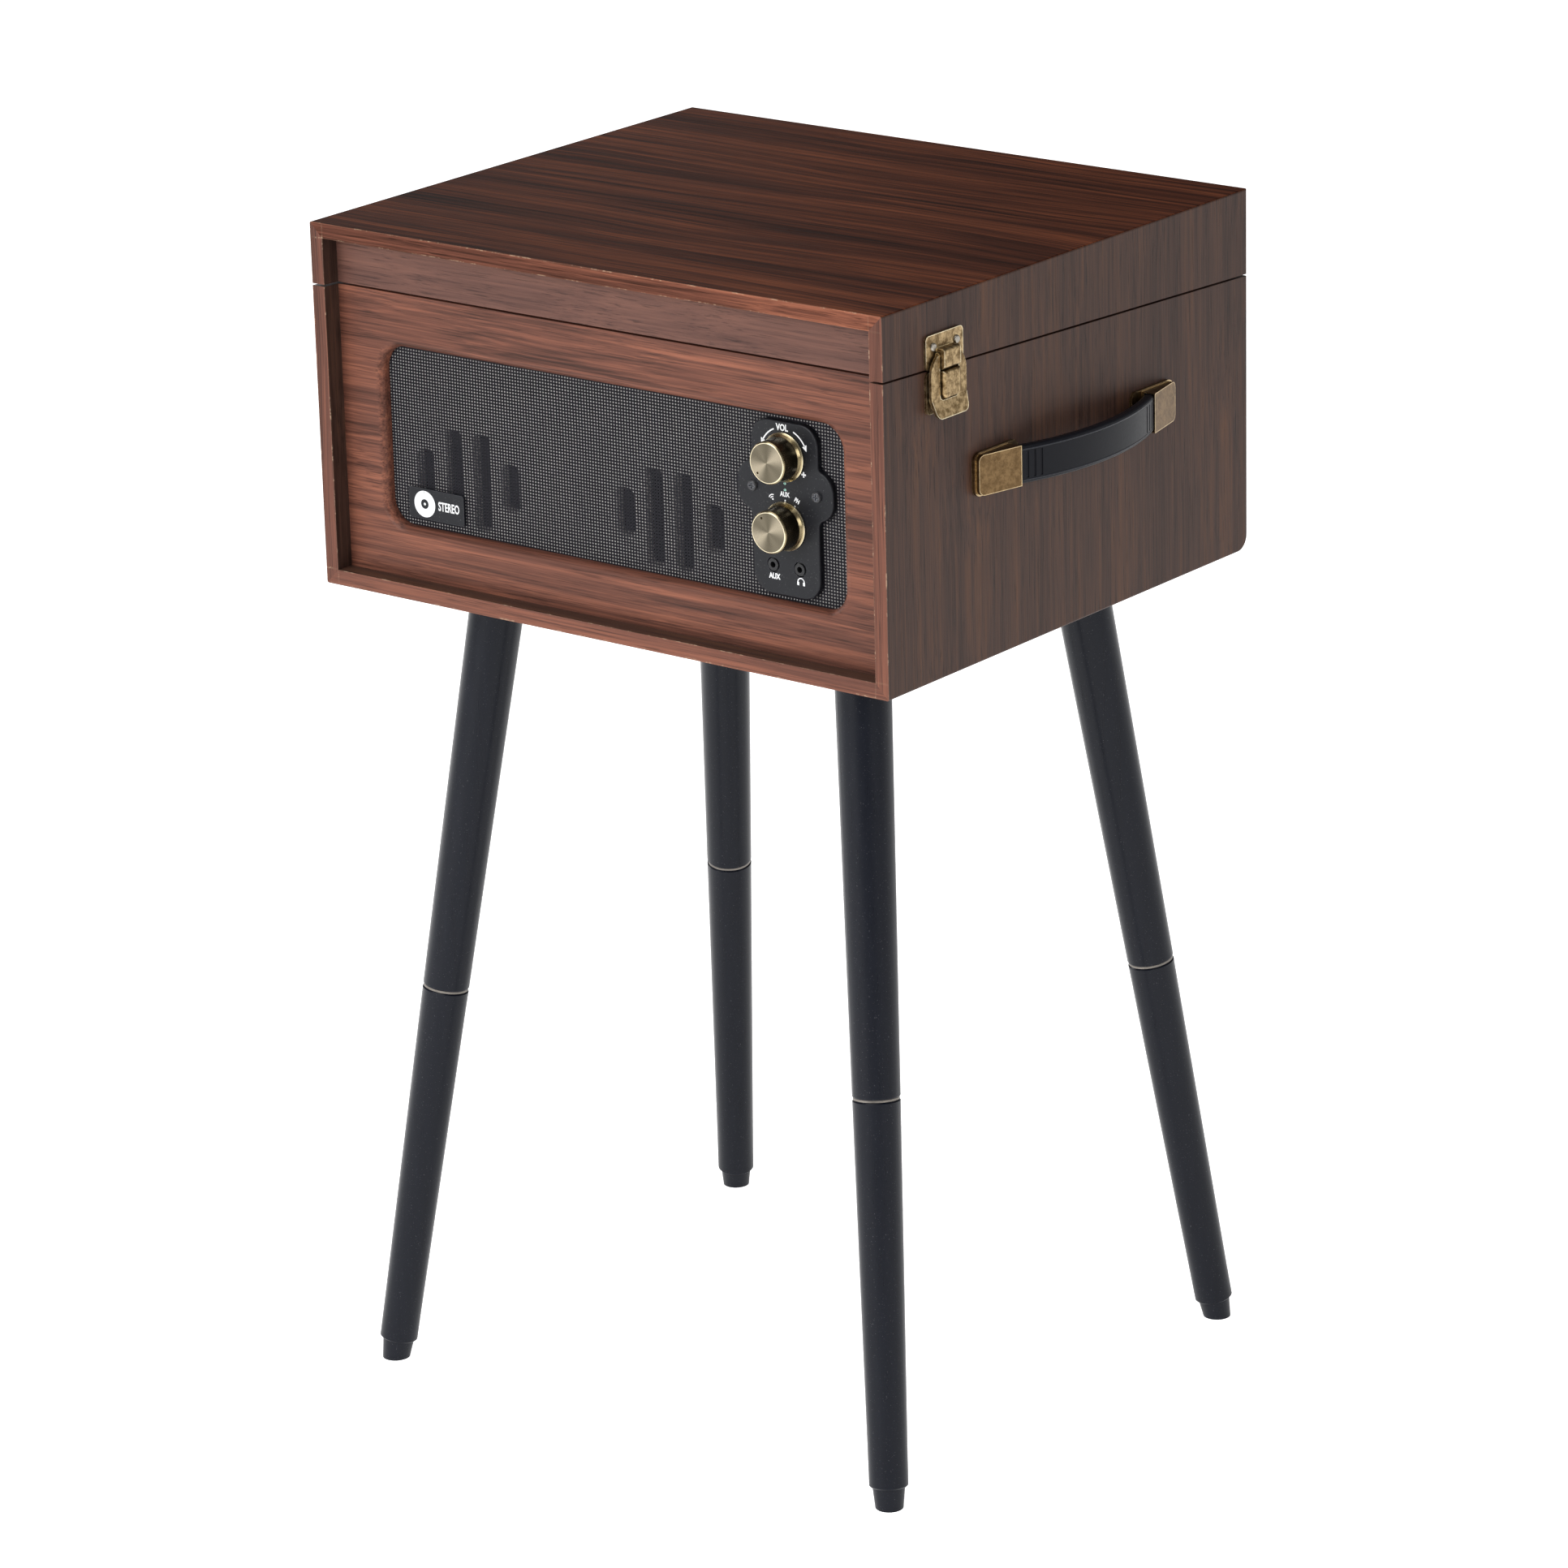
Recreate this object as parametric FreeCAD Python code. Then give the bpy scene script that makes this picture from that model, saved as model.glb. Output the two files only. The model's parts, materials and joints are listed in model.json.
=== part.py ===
"""Suitcase record player on four splayed legs.

A lidded wooden case holds a belt-driven deck above two small loudspeakers.  The case stands on four
tapered two-piece legs.  Units are millimetres, +Z is up and -Y is the front of the case.  Shapes are made
about the middle of the case and moved at the end, so that the origin is the floor point under the middle of
the overall box.
"""
import FreeCAD, Part
import math
import os

V = FreeCAD.Vector

# ---------------------------------------------------------------- how closely edges are matched
TOUCHING = 0.001
PARALLEL = 1e-6
RIM_REACH = 0.5

# ---------------------------------------------------------------- case and lid
CASE_WIDTH = 410.0
CASE_DEPTH = 350.0
CASE_HEIGHT = 216.0
CASE_UNDERSIDE = 490.0
BOARD = 9.0
EDGE_ROUND = 1.2
REAR_CORNER_ROUND = 9.0
SEAM_DROP_FRONT = 37.0
SEAM_DROP_BACK = 51.0
SEAM_GAP = 1.2
PANEL_RECESS = 12.0
PANEL_THICKNESS = 7.0

# ---------------------------------------------------------------- grille and speakers
GRILLE_WIDTH = 332.0
GRILLE_HEIGHT = 107.0
GRILLE_BASE = 39.0
GRILLE_CORNER = 15.0
GRILLE_ROLL = 5.0
CLOTH_THICKNESS = 0.8
CLOTH_MARGIN = 8.0
BAFFLE_THICKNESS = 6.0
SPEAKER_CENTRES = (-109.5, 38.5)
SPEAKER_HEIGHT = 72.0
SLOT_WIDTH = 12.6
SLOT_PITCH = 21.3
SLOT_COUNT = 4
SLOT_TALL = 57.0
SLOT_SHORT = 28.0
SLOT_END_ROUND = 4.0
DRIVER_RADIUS = 38.0
DRIVER_FLANGE = 2.0
DRIVER_DEPTH = 26.0
DRIVER_WALL = 1.5
MAGNET_RADIUS = 20.0
MAGNET_DEPTH = 11.0
CONE_WALL = 0.8
CONE_MARGIN = 4.0

# ---------------------------------------------------------------- control plate
PLATE_X = 124.3
PLATE_WIDTH = 46.5
PLATE_HEIGHT = 100.0
PLATE_THICKNESS = 3.5
PLATE_CORNER = 12.0
PLATE_EDGE = 1.0
EAR_SPAN = 67.0
EAR_HEIGHT = 29.0
EAR_LIFT = 10.5
EAR_BLEND = 4.0
PLATE_SCREW_OFFSET = 22.3
VOLUME_LIFT = 30.0
SELECTOR_LIFT = -9.5
JACK_DROP = 33.0
JACK_OFFSET = 9.3
JACK_OUTER = 3.4
JACK_BORE = 1.8
JACK_PROUD = 0.6
JACK_BODY = 4.0
JACK_DEPTH = 14.0
LIGHT_RADIUS = 0.9
LIGHT_LIFTS = (14.8, 11.2)
KNOB_LENGTH = 15.4
KNOB_LIP = 0.8
KNOB_RADIUS = 12.2
KNOB_SKIRT_RADIUS = 14.0
KNOB_SKIRT_HEIGHT = 3.2
KNOB_GAP = 0.4
POINTER_RADIUS = 0.7
POINTER_OFFSET = 8.9
SHAFT_RADIUS = 3.0
RUNNING_FIT = 0.06
HOLE_CLEARANCE = 0.4
POT_RADIUS = 8.5
POT_DEPTH = 10.0
POT_BORE_DEPTH = 6.0
VOLUME_POINTER_DEG = -135.0
SELECTOR_POINTER_DEG = -30.0
BADGE_WIDTH = 41.5
BADGE_HEIGHT = 18.2
BADGE_X = -133.0
BADGE_LIFT = -39.3
BADGE_THICKNESS = 1.6

# ---------------------------------------------------------------- deck
DECK_TOP_DROP = 66.0
DECK_THICKNESS = 4.0
DECK_CLEARANCE = 0.6
DECK_EDGE = 1.0
RAIL_WIDTH = 12.0
RAIL_HEIGHT = 14.0
RAIL_END_GAP = 16.0
PLATTER_X = -41.0
PLATTER_Y = 6.0
PLATTER_RADIUS = 111.0
PLATTER_HEIGHT = 14.0
PLATTER_GAP = 3.0
PLATTER_WALL = 3.0
PLATTER_WEB = 3.0
PLATTER_CHAMFER = 2.0
HUB_RADIUS = 12.0
DRIVE_RING_RADIUS = 62.0
DRIVE_RING_WALL = 3.0
MAT_THICKNESS = 2.0
MAT_MARGIN = 2.5
SPINDLE_RADIUS = 3.6
SPINDLE_SHAFT = 4.0
SPINDLE_STAND = 11.0
SPINDLE_TIP = 3.0
SPINDLE_SHOULDER = 2.8
SPINDLE_POINT = 1.2
BEARING_RADIUS = 9.0
BEARING_DEPTH = 26.0
BEARING_FLANGE = 18.0
BEARING_FLANGE_HEIGHT = 2.0
MOTOR_ANGLE_DEG = 135.0
MOTOR_DISTANCE = 92.0
MOTOR_RADIUS = 15.0
MOTOR_DEPTH = 24.0
MOTOR_SHAFT = 1.0
PULLEY_RADIUS = 4.0
PULLEY_HEIGHT = 8.0
PULLEY_FLANGE = 1.5
BELT_THICKNESS = 1.0
BELT_HEIGHT = 4.0
BELT_CLEARANCE = 0.3

# ---------------------------------------------------------------- tonearm
ARM_PIVOT_X = 150.0
ARM_PIVOT_Y = 95.0
ARM_HEIGHT = 32.0
ARM_LENGTH = 224.0
ARM_RADIUS = 4.0
ARM_EDGE = 1.5
ARM_TAIL = 24.0
ARM_TAIL_RADIUS = 7.0
BASE_RADIUS = 20.0
BASE_HEIGHT = 12.0
YOKE_RADIUS = 15.0
YOKE_HEIGHT = 4.0
YOKE_EAR = 3.0
YOKE_EAR_WIDTH = 12.0
YOKE_EAR_ROUND = YOKE_EAR_WIDTH / 2 - 0.5
YOKE_INNER = 7.5
YOKE_GAP = 0.4
YOKE_SHAFT = 4.0
YOKE_SHAFT_DEPTH = 22.0
PIVOT_BLOCK = 7.0
PIVOT_PIN = 1.5
HEAD_LENGTH = 38.0
HEAD_TAPER = 15.2
HEAD_NECK_WALL = 1.0
HEAD_WIDTH = 16.0
HEAD_HEIGHT = 11.0
HEAD_RISE = 3.0
STYLUS_DROP = 3.0
STYLUS_RADIUS = 1.5
STYLUS_TIP_RADIUS = 0.3
REST_Y = -45.0
REST_DEPTH = 9.0
REST_WIDTH = 16.0
REST_WALL = 3.0
REST_EDGE = 1.0
REST_HOOK = 5.0
REST_CLEARANCE = 0.5
CUE_REACH = 28.0
CUE_CRANK = 3.0
CUE_BAR_RADIUS = 1.5
CUE_BAR_LENGTH = 54.0
CUE_BRACKET = 6.0
CUE_LEVER_LENGTH = 22.0
CUE_LEVER_WIDTH = 5.0
CUE_LEVER_EDGE = 1.2
SWITCH_X = 178.0
SWITCH_Y = -18.0
SWITCH_TRAVEL = 10.0
SWITCH_WIDTH = 8.0
SWITCH_LENGTH = 10.0
SWITCH_HEIGHT = 7.0
SWITCH_EDGE = 1.2
SWITCH_STEM = 4.0

# ---------------------------------------------------------------- legs
FOOT_X = 187.5
FOOT_Y = 167.0
LEG_TOP_X = 132.3
LEG_TOP_Y = 103.5
LEG_JOINT_HEIGHT = 236.0
LEG_TOP_RADIUS = 16.4
LEG_JOINT_RADIUS = 13.9
LEG_END_RADIUS = 11.2
LEG_CHAMFER = 1.0
TIP_HEIGHT = 12.0
TIP_TOP_RADIUS = 9.5
TIP_END_RADIUS = 8.2
RING_THICKNESS = 1.2
RING_RADIUS = 13.4
STUD_RADIUS = 4.0
STUD_HALF = 15.0
LEG_PLATE = 62.0
LEG_PLATE_THICKNESS = 3.0
LEG_PLATE_CORNER = 6.0
LEG_PLATE_SCREW = 23.0

# ---------------------------------------------------------------- handle
HANDLE_LENGTH = 192.0
HANDLE_LIFT = 109.0
GRIP_STAND = 23.0
GRIP_END_STAND = 10.5
GRIP_THICKNESS = 6.0
GRIP_HEIGHT = 22.0
GRIP_EDGE = 2.0
GRIP_GROOVE = 0.7
GRIP_GROOVE_LENGTH = 15.4
GRIP_GROOVE_PITCH = 4.5
GRIP_GROOVES = 3
CAP_LENGTH = 31.5
CAP_FOOT_EXTRA = 9.5
CAP_FOOT = 2.2
CAP_HEIGHT = 25.0
CAP_CORNER = 5.0
CAP_OVER = 0.9
CAP_END_STAND = 4.5
CAP_SOCKET = 6.0
CAP_CLEARANCE = 0.1

# ---------------------------------------------------------------- latches
LATCH_Y = -121.0
LATCH_WIDTH = 34.0
LATCH_UPPER = 20.0
LATCH_LOWER = 24.0
LATCH_PLATE = 1.6
LATCH_CORNER = 3.0
TAB_WIDTH = 15.0
TAB_STAND = 7.0
TAB_GAP = 1.0
TAB_UPPER = 12.0
TAB_LOWER = 16.0
TAB_ROUND = 3.0
STAPLE_ROUND = 2.1
TAB_FACE_ROUND = 1.5
HASP_PIN_RADIUS = 1.4
HASP_PIN_LIFT = 8.6
HASP_PIN_STAND = 3.6
HASP_WIDTH = 32.0
HASP_FOOT_WIDTH = 28.0
HASP_FOOT_ROUND = 4.5
HASP_THICKNESS = 2.0
HASP_EDGE = 0.6
HASP_REACH = 12.0
HASP_WAIST = 2.0
HASP_LENGTH = 35.0
HASP_KICK = 10.0
HASP_KICK_STAND = 3.0
HASP_OPENING = 17.0
HASP_TOP_ROUND = 13.0
RIVET_OFFSET = 10.6
RIVET_LIFT = 13.2
RIVET_DROP = 19.5
RIVET_RADIUS = 2.4
RIVET_PROUD = 1.4
RIVET_ROUND = 1.12
RIVET_SHANK = 1.2

# ---------------------------------------------------------------- hinges, screws, rear sockets
HINGE_X = 120.0
HINGE_WIDTH = 44.0
HINGE_LEAF = 1.2
HINGE_LEAF_HEIGHT = 18.0
HINGE_SCREW_LIFT = 11.16
HINGE_BARREL = 2.4
HINGE_PIN = 1.2
HINGE_RELIEF = 0.4
HINGE_KNUCKLE_GAP = 0.4
SCREW_HEAD = 3.1
SCREW_HEAD_HEIGHT = 1.6
SCREW_HEAD_ROUND = 0.55 * SCREW_HEAD_HEIGHT
SCREW_SHANK = 1.4
SCREW_LENGTH = 7.0
DRIVER_SCREW_LENGTH = 5.0
SCREW_SLOT = 1.0
SCREW_SLOT_LENGTH = 3.72
SCREW_SLOT_DEPTH = 0.9
SOCKET_PLATE_X = 110.0
SOCKET_PLATE_LIFT = 50.0
SOCKET_PLATE_WIDTH = 78.0
SOCKET_PLATE_HEIGHT = 34.0
SOCKET_PLATE_THICKNESS = 1.6
SOCKET_PLATE_CORNER = 3.0
SOCKET_CUTOUT_MARGIN = 7.0
PHONO_RADIUS = 4.15
PHONO_NECK = 3.6
PHONO_BORE = 1.6
PHONO_LENGTH = 9.0
PHONO_PITCH = 16.0
PHONO_X = 14.0
INLET_X = -22.0
INLET_RADIUS = 5.0
INLET_BORE = 2.8
INLET_PIN = 1.0
INLET_PIN_SET = 1.5
INLET_DEPTH = 11.0
INLET_BODY = 14.0
INNER_BODY_DEPTH = 8.0
BOARD_LENGTH = 96.0
BOARD_WIDTH = 60.0
BOARD_THICKNESS = 1.6
BOARD_STANDOFF = 8.0
STANDOFF_INSET = 5.0
STANDOFF_RADIUS = 2.5
SINK_FINS = 5
SINK_PITCH = 5.0
SINK_FIN = 1.7
PART_HEIGHT = 15.0
CAPACITOR_RADIUS = 5.0
CAPACITOR_PITCH = 15.0
BOARD_X = 90.0
BOARD_Y = -60.0

# ---------------------------------------------------------------- worked-out places
HALF_W = CASE_WIDTH / 2
HALF_D = CASE_DEPTH / 2
INNER_X = HALF_W - BOARD
CASE_TOP = CASE_UNDERSIDE + CASE_HEIGHT
INNER_BOTTOM = CASE_UNDERSIDE + BOARD
INNER_TOP = CASE_TOP - BOARD
SEAM_FRONT = CASE_TOP - SEAM_DROP_FRONT
SEAM_BACK = CASE_TOP - SEAM_DROP_BACK
PANEL_FRONT = -HALF_D + PANEL_RECESS
PANEL_BACK = PANEL_FRONT + PANEL_THICKNESS
BAFFLE_FRONT = PANEL_BACK + CLOTH_THICKNESS
BAFFLE_BACK = BAFFLE_FRONT + BAFFLE_THICKNESS
DECK_TOP = CASE_TOP - DECK_TOP_DROP
DECK_UNDER = DECK_TOP - DECK_THICKNESS
GRILLE_LOW = CASE_UNDERSIDE + GRILLE_BASE
GRILLE_MID = GRILLE_LOW + GRILLE_HEIGHT / 2
SPEAKER_Z = CASE_UNDERSIDE + SPEAKER_HEIGHT
PLATE_FRONT = PANEL_BACK - PLATE_THICKNESS
VOLUME_Z = GRILLE_MID + VOLUME_LIFT
SELECTOR_Z = GRILLE_MID + SELECTOR_LIFT
KNOB_BACK = PLATE_FRONT - KNOB_GAP
KNOB_FRONT = KNOB_BACK - KNOB_LENGTH
PLATTER_BASE = DECK_TOP + PLATTER_GAP
PLATTER_TOP = PLATTER_BASE + PLATTER_HEIGHT
MAT_TOP = PLATTER_TOP + MAT_THICKNESS
SPINDLE_TOP = MAT_TOP + SPINDLE_STAND
MOTOR_X = PLATTER_X + MOTOR_DISTANCE * math.cos(math.radians(MOTOR_ANGLE_DEG))
MOTOR_Y = PLATTER_Y + MOTOR_DISTANCE * math.sin(math.radians(MOTOR_ANGLE_DEG))
ARM_Z = DECK_TOP + ARM_HEIGHT
CUE_Y = ARM_PIVOT_Y - CUE_REACH
CUE_BAR_Z = ARM_Z - ARM_RADIUS - REST_CLEARANCE - CUE_BAR_RADIUS
HANDLE_Z = CASE_UNDERSIDE + HANDLE_LIFT
GRIP_END = HANDLE_LENGTH / 2 - CAP_LENGTH
SLOPE = (SEAM_BACK - SEAM_FRONT) / CASE_DEPTH
LATCH_SEAM = SEAM_FRONT + (LATCH_Y + HALF_D) * SLOPE
HASP_PIN_X = HALF_W + HASP_PIN_STAND
HASP_PIN_Z = LATCH_SEAM + HASP_PIN_LIFT
HINGE_Y = HALF_D + HINGE_LEAF
HINGE_Z = SEAM_BACK + HINGE_LEAF * SLOPE
SOCKET_Z = CASE_UNDERSIDE + SOCKET_PLATE_LIFT
BIG = 2000.0


# ================================================================ plain helpers
def box(x0, x1, y0, y1, z0, z1):
    """A box between two corners."""
    return Part.makeBox(x1 - x0, y1 - y0, z1 - z0, V(x0, y0, z0))


def rod(radius, length, start, direction):
    """A cylinder from a start point along a direction."""
    return Part.makeCylinder(radius, length, start, direction)


def prism(points, along):
    """A closed outline of points pushed along a vector."""
    return Part.Face(Part.makePolygon(points + [points[0]])).extrude(along)


def square_to(axis):
    """A unit direction at right angles to an upright or level axis."""
    return V(1, 0, 0) if axis.z else V(0, 0, 1)


def turned(points, centre, axis):
    """A closed outline of (radius, distance) pairs spun about an axis through centre."""
    side = square_to(axis)
    corners = [centre + side * radius + axis * distance for radius, distance in points]
    face = Part.Face(Part.makePolygon(corners + [corners[0]]))
    return face.revolve(centre, axis, 360)


def edges_along(shape, direction):
    """The straight edges that run along a direction."""
    found = []
    for edge in shape.Edges:
        if edge.Curve.TypeId != "Part::GeomLine":
            continue
        if edge.tangentAt(edge.FirstParameter).cross(direction).Length < PARALLEL:
            found.append(edge)
    return found


def edges_at(shape, axis, value):
    """The edges that lie in the plane where one coordinate has a value."""
    low = {"x": "XMin", "y": "YMin", "z": "ZMin"}[axis]
    high = {"x": "XMax", "y": "YMax", "z": "ZMax"}[axis]
    found = []
    for edge in shape.Edges:
        bounds = edge.BoundBox
        if abs(getattr(bounds, low) - value) < TOUCHING and abs(getattr(bounds, high) - value) < TOUCHING:
            found.append(edge)
    return found


def rim_circles(shape, point):
    """The full circles that are centred on a point."""
    circles = [edge for edge in shape.Edges if edge.Closed]
    return [edge for edge in circles if edge.CenterOfMass.distanceToPoint(point) < RIM_REACH]


def rounded(shape, direction, radius):
    """A shape whose straight edges along a direction are rounded."""
    return shape.makeFillet(radius, edges_along(shape, direction))


def joined(shapes):
    """One solid from touching shapes."""
    result = shapes[0]
    for shape in shapes[1:]:
        result = result.fuse(shape)
    return result.removeSplitter()


def group(shapes):
    """Separate solids kept in one node."""
    return Part.makeCompound(shapes)


def mirrored_x(shape):
    """The shape on the other side of the case."""
    return shape.mirror(V(0, 0, 0), V(1, 0, 0))


# ================================================================ case and lid boards
def case_envelope():
    """The whole closed case with its edges rounded, before it is sawn into boards."""
    whole = box(-HALF_W, HALF_W, -HALF_D, HALF_D, CASE_UNDERSIDE, CASE_TOP)
    rear_low = []
    others = []
    for edge in edges_along(whole, V(1, 0, 0)):
        at_rear_low = edge.BoundBox.YMin > 0 and edge.BoundBox.ZMax < CASE_TOP - 1
        (rear_low if at_rear_low else others).append(edge)
    whole = whole.makeFillet(REAR_CORNER_ROUND, rear_low)
    long_edges = [edge for edge in edges_along(whole, V(0, 1, 0))]
    return whole.makeFillet(EDGE_ROUND, long_edges)


def seam_prism(offset, upward):
    """Everything above or below the sloping seam, moved up by an offset."""
    far = BIG if upward else -BIG
    reach = HALF_D * 2
    front = SEAM_FRONT + (-reach + HALF_D) * SLOPE + offset
    back = SEAM_FRONT + (reach + HALF_D) * SLOPE + offset
    outline = [
        V(-BIG, -reach, front),
        V(-BIG, reach, back),
        V(-BIG, reach, back + far),
        V(-BIG, -reach, front + far),
    ]
    return prism(outline, V(2 * BIG, 0, 0))


def below_seam(shape):
    return shape.common(seam_prism(-SEAM_GAP / 2, False))


def above_seam(shape):
    return shape.common(seam_prism(SEAM_GAP / 2, True))


def side_region():
    """The right board's share of the case, mitred top and bottom."""
    outline = [
        V(HALF_W, -HALF_D, CASE_UNDERSIDE),
        V(HALF_W, -HALF_D, CASE_TOP),
        V(INNER_X, -HALF_D, INNER_TOP),
        V(INNER_X, -HALF_D, INNER_BOTTOM),
    ]
    return prism(outline, V(0, CASE_DEPTH, 0))


def flat_region(outer, inner):
    """The top or bottom board's share of the case, mitred at both ends."""
    outline = [
        V(-HALF_W, -HALF_D, outer),
        V(HALF_W, -HALF_D, outer),
        V(INNER_X, -HALF_D, inner),
        V(-INNER_X, -HALF_D, inner),
    ]
    return prism(outline, V(0, CASE_DEPTH, 0))


def back_region():
    return box(-INNER_X, INNER_X, HALF_D - BOARD, HALF_D, INNER_BOTTOM, INNER_TOP)


def front_region():
    return box(-INNER_X, INNER_X, PANEL_FRONT, PANEL_BACK, INNER_BOTTOM, INNER_TOP)


def hinge_relief():
    """Room for the hinge barrels in the boards' edges."""
    cuts = []
    for x in (-HINGE_X, HINGE_X):
        start = V(x - HINGE_WIDTH / 2 - HINGE_RELIEF, HINGE_Y, HINGE_Z)
        cuts.append(rod(HINGE_BARREL + HINGE_RELIEF, HINGE_WIDTH + 2 * HINGE_RELIEF, start, V(1, 0, 0)))
    return group(cuts)


def make_boards():
    """The case boards below the seam and the lid boards above it."""
    envelope = case_envelope()
    right = envelope.common(side_region())
    left = mirrored_x(right)
    back = envelope.common(back_region()).cut(hinge_relief())
    socket_hole = box(
        SOCKET_PLATE_X - SOCKET_PLATE_WIDTH / 2 + SOCKET_CUTOUT_MARGIN,
        SOCKET_PLATE_X + SOCKET_PLATE_WIDTH / 2 - SOCKET_CUTOUT_MARGIN,
        HALF_D - 2 * BOARD, HALF_D + BOARD,
        SOCKET_Z - SOCKET_PLATE_HEIGHT / 2 + SOCKET_CUTOUT_MARGIN,
        SOCKET_Z + SOCKET_PLATE_HEIGHT / 2 - SOCKET_CUTOUT_MARGIN)
    return {
        "right_side_panel": below_seam(right),
        "left_side_panel": below_seam(left),
        "bottom_panel": envelope.common(flat_region(CASE_UNDERSIDE, INNER_BOTTOM)),
        "back_panel": below_seam(back).cut(socket_hole),
        "lid_right_side": above_seam(right),
        "lid_left_side": above_seam(left),
        "lid_top": envelope.common(flat_region(CASE_TOP, INNER_TOP)),
        "lid_back": above_seam(back),
        "lid_front": above_seam(front_region()),
    }


# ================================================================ front panel, cloth, baffle, drivers
def grille_block(y0, y1, margin):
    """A rounded block the size of the grille opening, grown by a margin."""
    half = GRILLE_WIDTH / 2 + margin
    block = box(-half, half, y0, y1, GRILLE_LOW - margin, GRILLE_LOW + GRILLE_HEIGHT + margin)
    return rounded(block, V(0, 1, 0), GRILLE_CORNER + margin)


def make_front_panel():
    panel = below_seam(front_region())
    panel = panel.cut(grille_block(PANEL_FRONT - 1, PANEL_BACK + 1, 0))
    rim = []
    for edge in edges_at(panel, "y", PANEL_FRONT):
        bounds = edge.BoundBox
        inside_x = max(abs(bounds.XMin), abs(bounds.XMax)) < GRILLE_WIDTH / 2 + 1
        inside_z = bounds.ZMin > GRILLE_LOW - 1 and bounds.ZMax < GRILLE_LOW + GRILLE_HEIGHT + 1
        if inside_x and inside_z:
            rim.append(edge)
    return panel.makeFillet(GRILLE_ROLL, rim)


def control_holes(y0, y1, margin):
    """Holes through which the shafts and jacks reach the control plate."""
    cuts = []
    for z in (VOLUME_Z, SELECTOR_Z):
        cuts.append(rod(SHAFT_RADIUS + margin, y1 - y0, V(PLATE_X, y0, z), V(0, 1, 0)))
    for x in jack_places():
        cuts.append(rod(JACK_BODY + margin, y1 - y0, V(x, y0, GRILLE_MID - JACK_DROP), V(0, 1, 0)))
    return group(cuts)


def jack_places():
    return (PLATE_X - JACK_OFFSET, PLATE_X + JACK_OFFSET)


def make_grille_cloth():
    cloth = grille_block(PANEL_BACK, BAFFLE_FRONT, CLOTH_MARGIN)
    return cloth.cut(control_holes(PANEL_BACK - 1, BAFFLE_FRONT + 1, HOLE_CLEARANCE))


def speaker_slots():
    """Upright slots in front of each driver, shorter at both ends of the row."""
    cuts = []
    for centre in SPEAKER_CENTRES:
        for index in range(SLOT_COUNT):
            x = centre + (index - (SLOT_COUNT - 1) / 2) * SLOT_PITCH
            tall = SLOT_SHORT if index in (0, SLOT_COUNT - 1) else SLOT_TALL
            slot = box(x - SLOT_WIDTH / 2, x + SLOT_WIDTH / 2, BAFFLE_FRONT - 1, BAFFLE_BACK + 1,
                       SPEAKER_Z - tall / 2, SPEAKER_Z + tall / 2)
            cuts.append(rounded(slot, V(0, 1, 0), SLOT_END_ROUND))
    return group(cuts)


def make_baffle():
    top = DECK_UNDER - DECK_CLEARANCE
    board = box(-INNER_X, INNER_X, BAFFLE_FRONT, BAFFLE_BACK, INNER_BOTTOM, top)
    board = board.cut(speaker_slots())
    return board.cut(control_holes(BAFFLE_FRONT - 1, BAFFLE_BACK + 1, HOLE_CLEARANCE))


def make_driver_frame(x):
    """Pressed basket with its magnet, open at the front for the cone."""
    magnet_radius = min(MAGNET_RADIUS, DRIVER_RADIUS - 2 * CONE_MARGIN)
    neck = magnet_radius - CONE_MARGIN
    basket_depth = DRIVER_DEPTH - MAGNET_DEPTH
    outline = [
        (0, basket_depth + MAGNET_DEPTH),
        (magnet_radius, basket_depth + MAGNET_DEPTH),
        (magnet_radius, basket_depth),
        (DRIVER_RADIUS - DRIVER_WALL, DRIVER_FLANGE),
        (DRIVER_RADIUS, DRIVER_FLANGE),
        (DRIVER_RADIUS, 0),
        (DRIVER_RADIUS - DRIVER_WALL * 2, 0),
        (neck, basket_depth - DRIVER_WALL),
        (0, basket_depth - DRIVER_WALL),
    ]
    return turned(outline, V(x, BAFFLE_BACK, SPEAKER_Z), V(0, 1, 0))


def make_driver_cone(x):
    """Thin paper cone with its dust dome, inside the basket."""
    rim = DRIVER_RADIUS - DRIVER_WALL * 2 - CONE_MARGIN
    floor = DRIVER_DEPTH - MAGNET_DEPTH - DRIVER_WALL - CONE_MARGIN
    outline = [(0, floor), (rim / 3, floor), (rim, CONE_WALL), (rim, 2 * CONE_WALL),
               (rim / 3, floor + CONE_WALL), (0, floor + CONE_WALL)]
    return turned(outline, V(x, BAFFLE_BACK, SPEAKER_Z), V(0, 1, 0))


# ================================================================ control plate and what is on it
def plate_screw_places():
    z = GRILLE_MID + EAR_LIFT
    return [(PLATE_X - PLATE_SCREW_OFFSET, z), (PLATE_X + PLATE_SCREW_OFFSET, z)]


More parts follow.
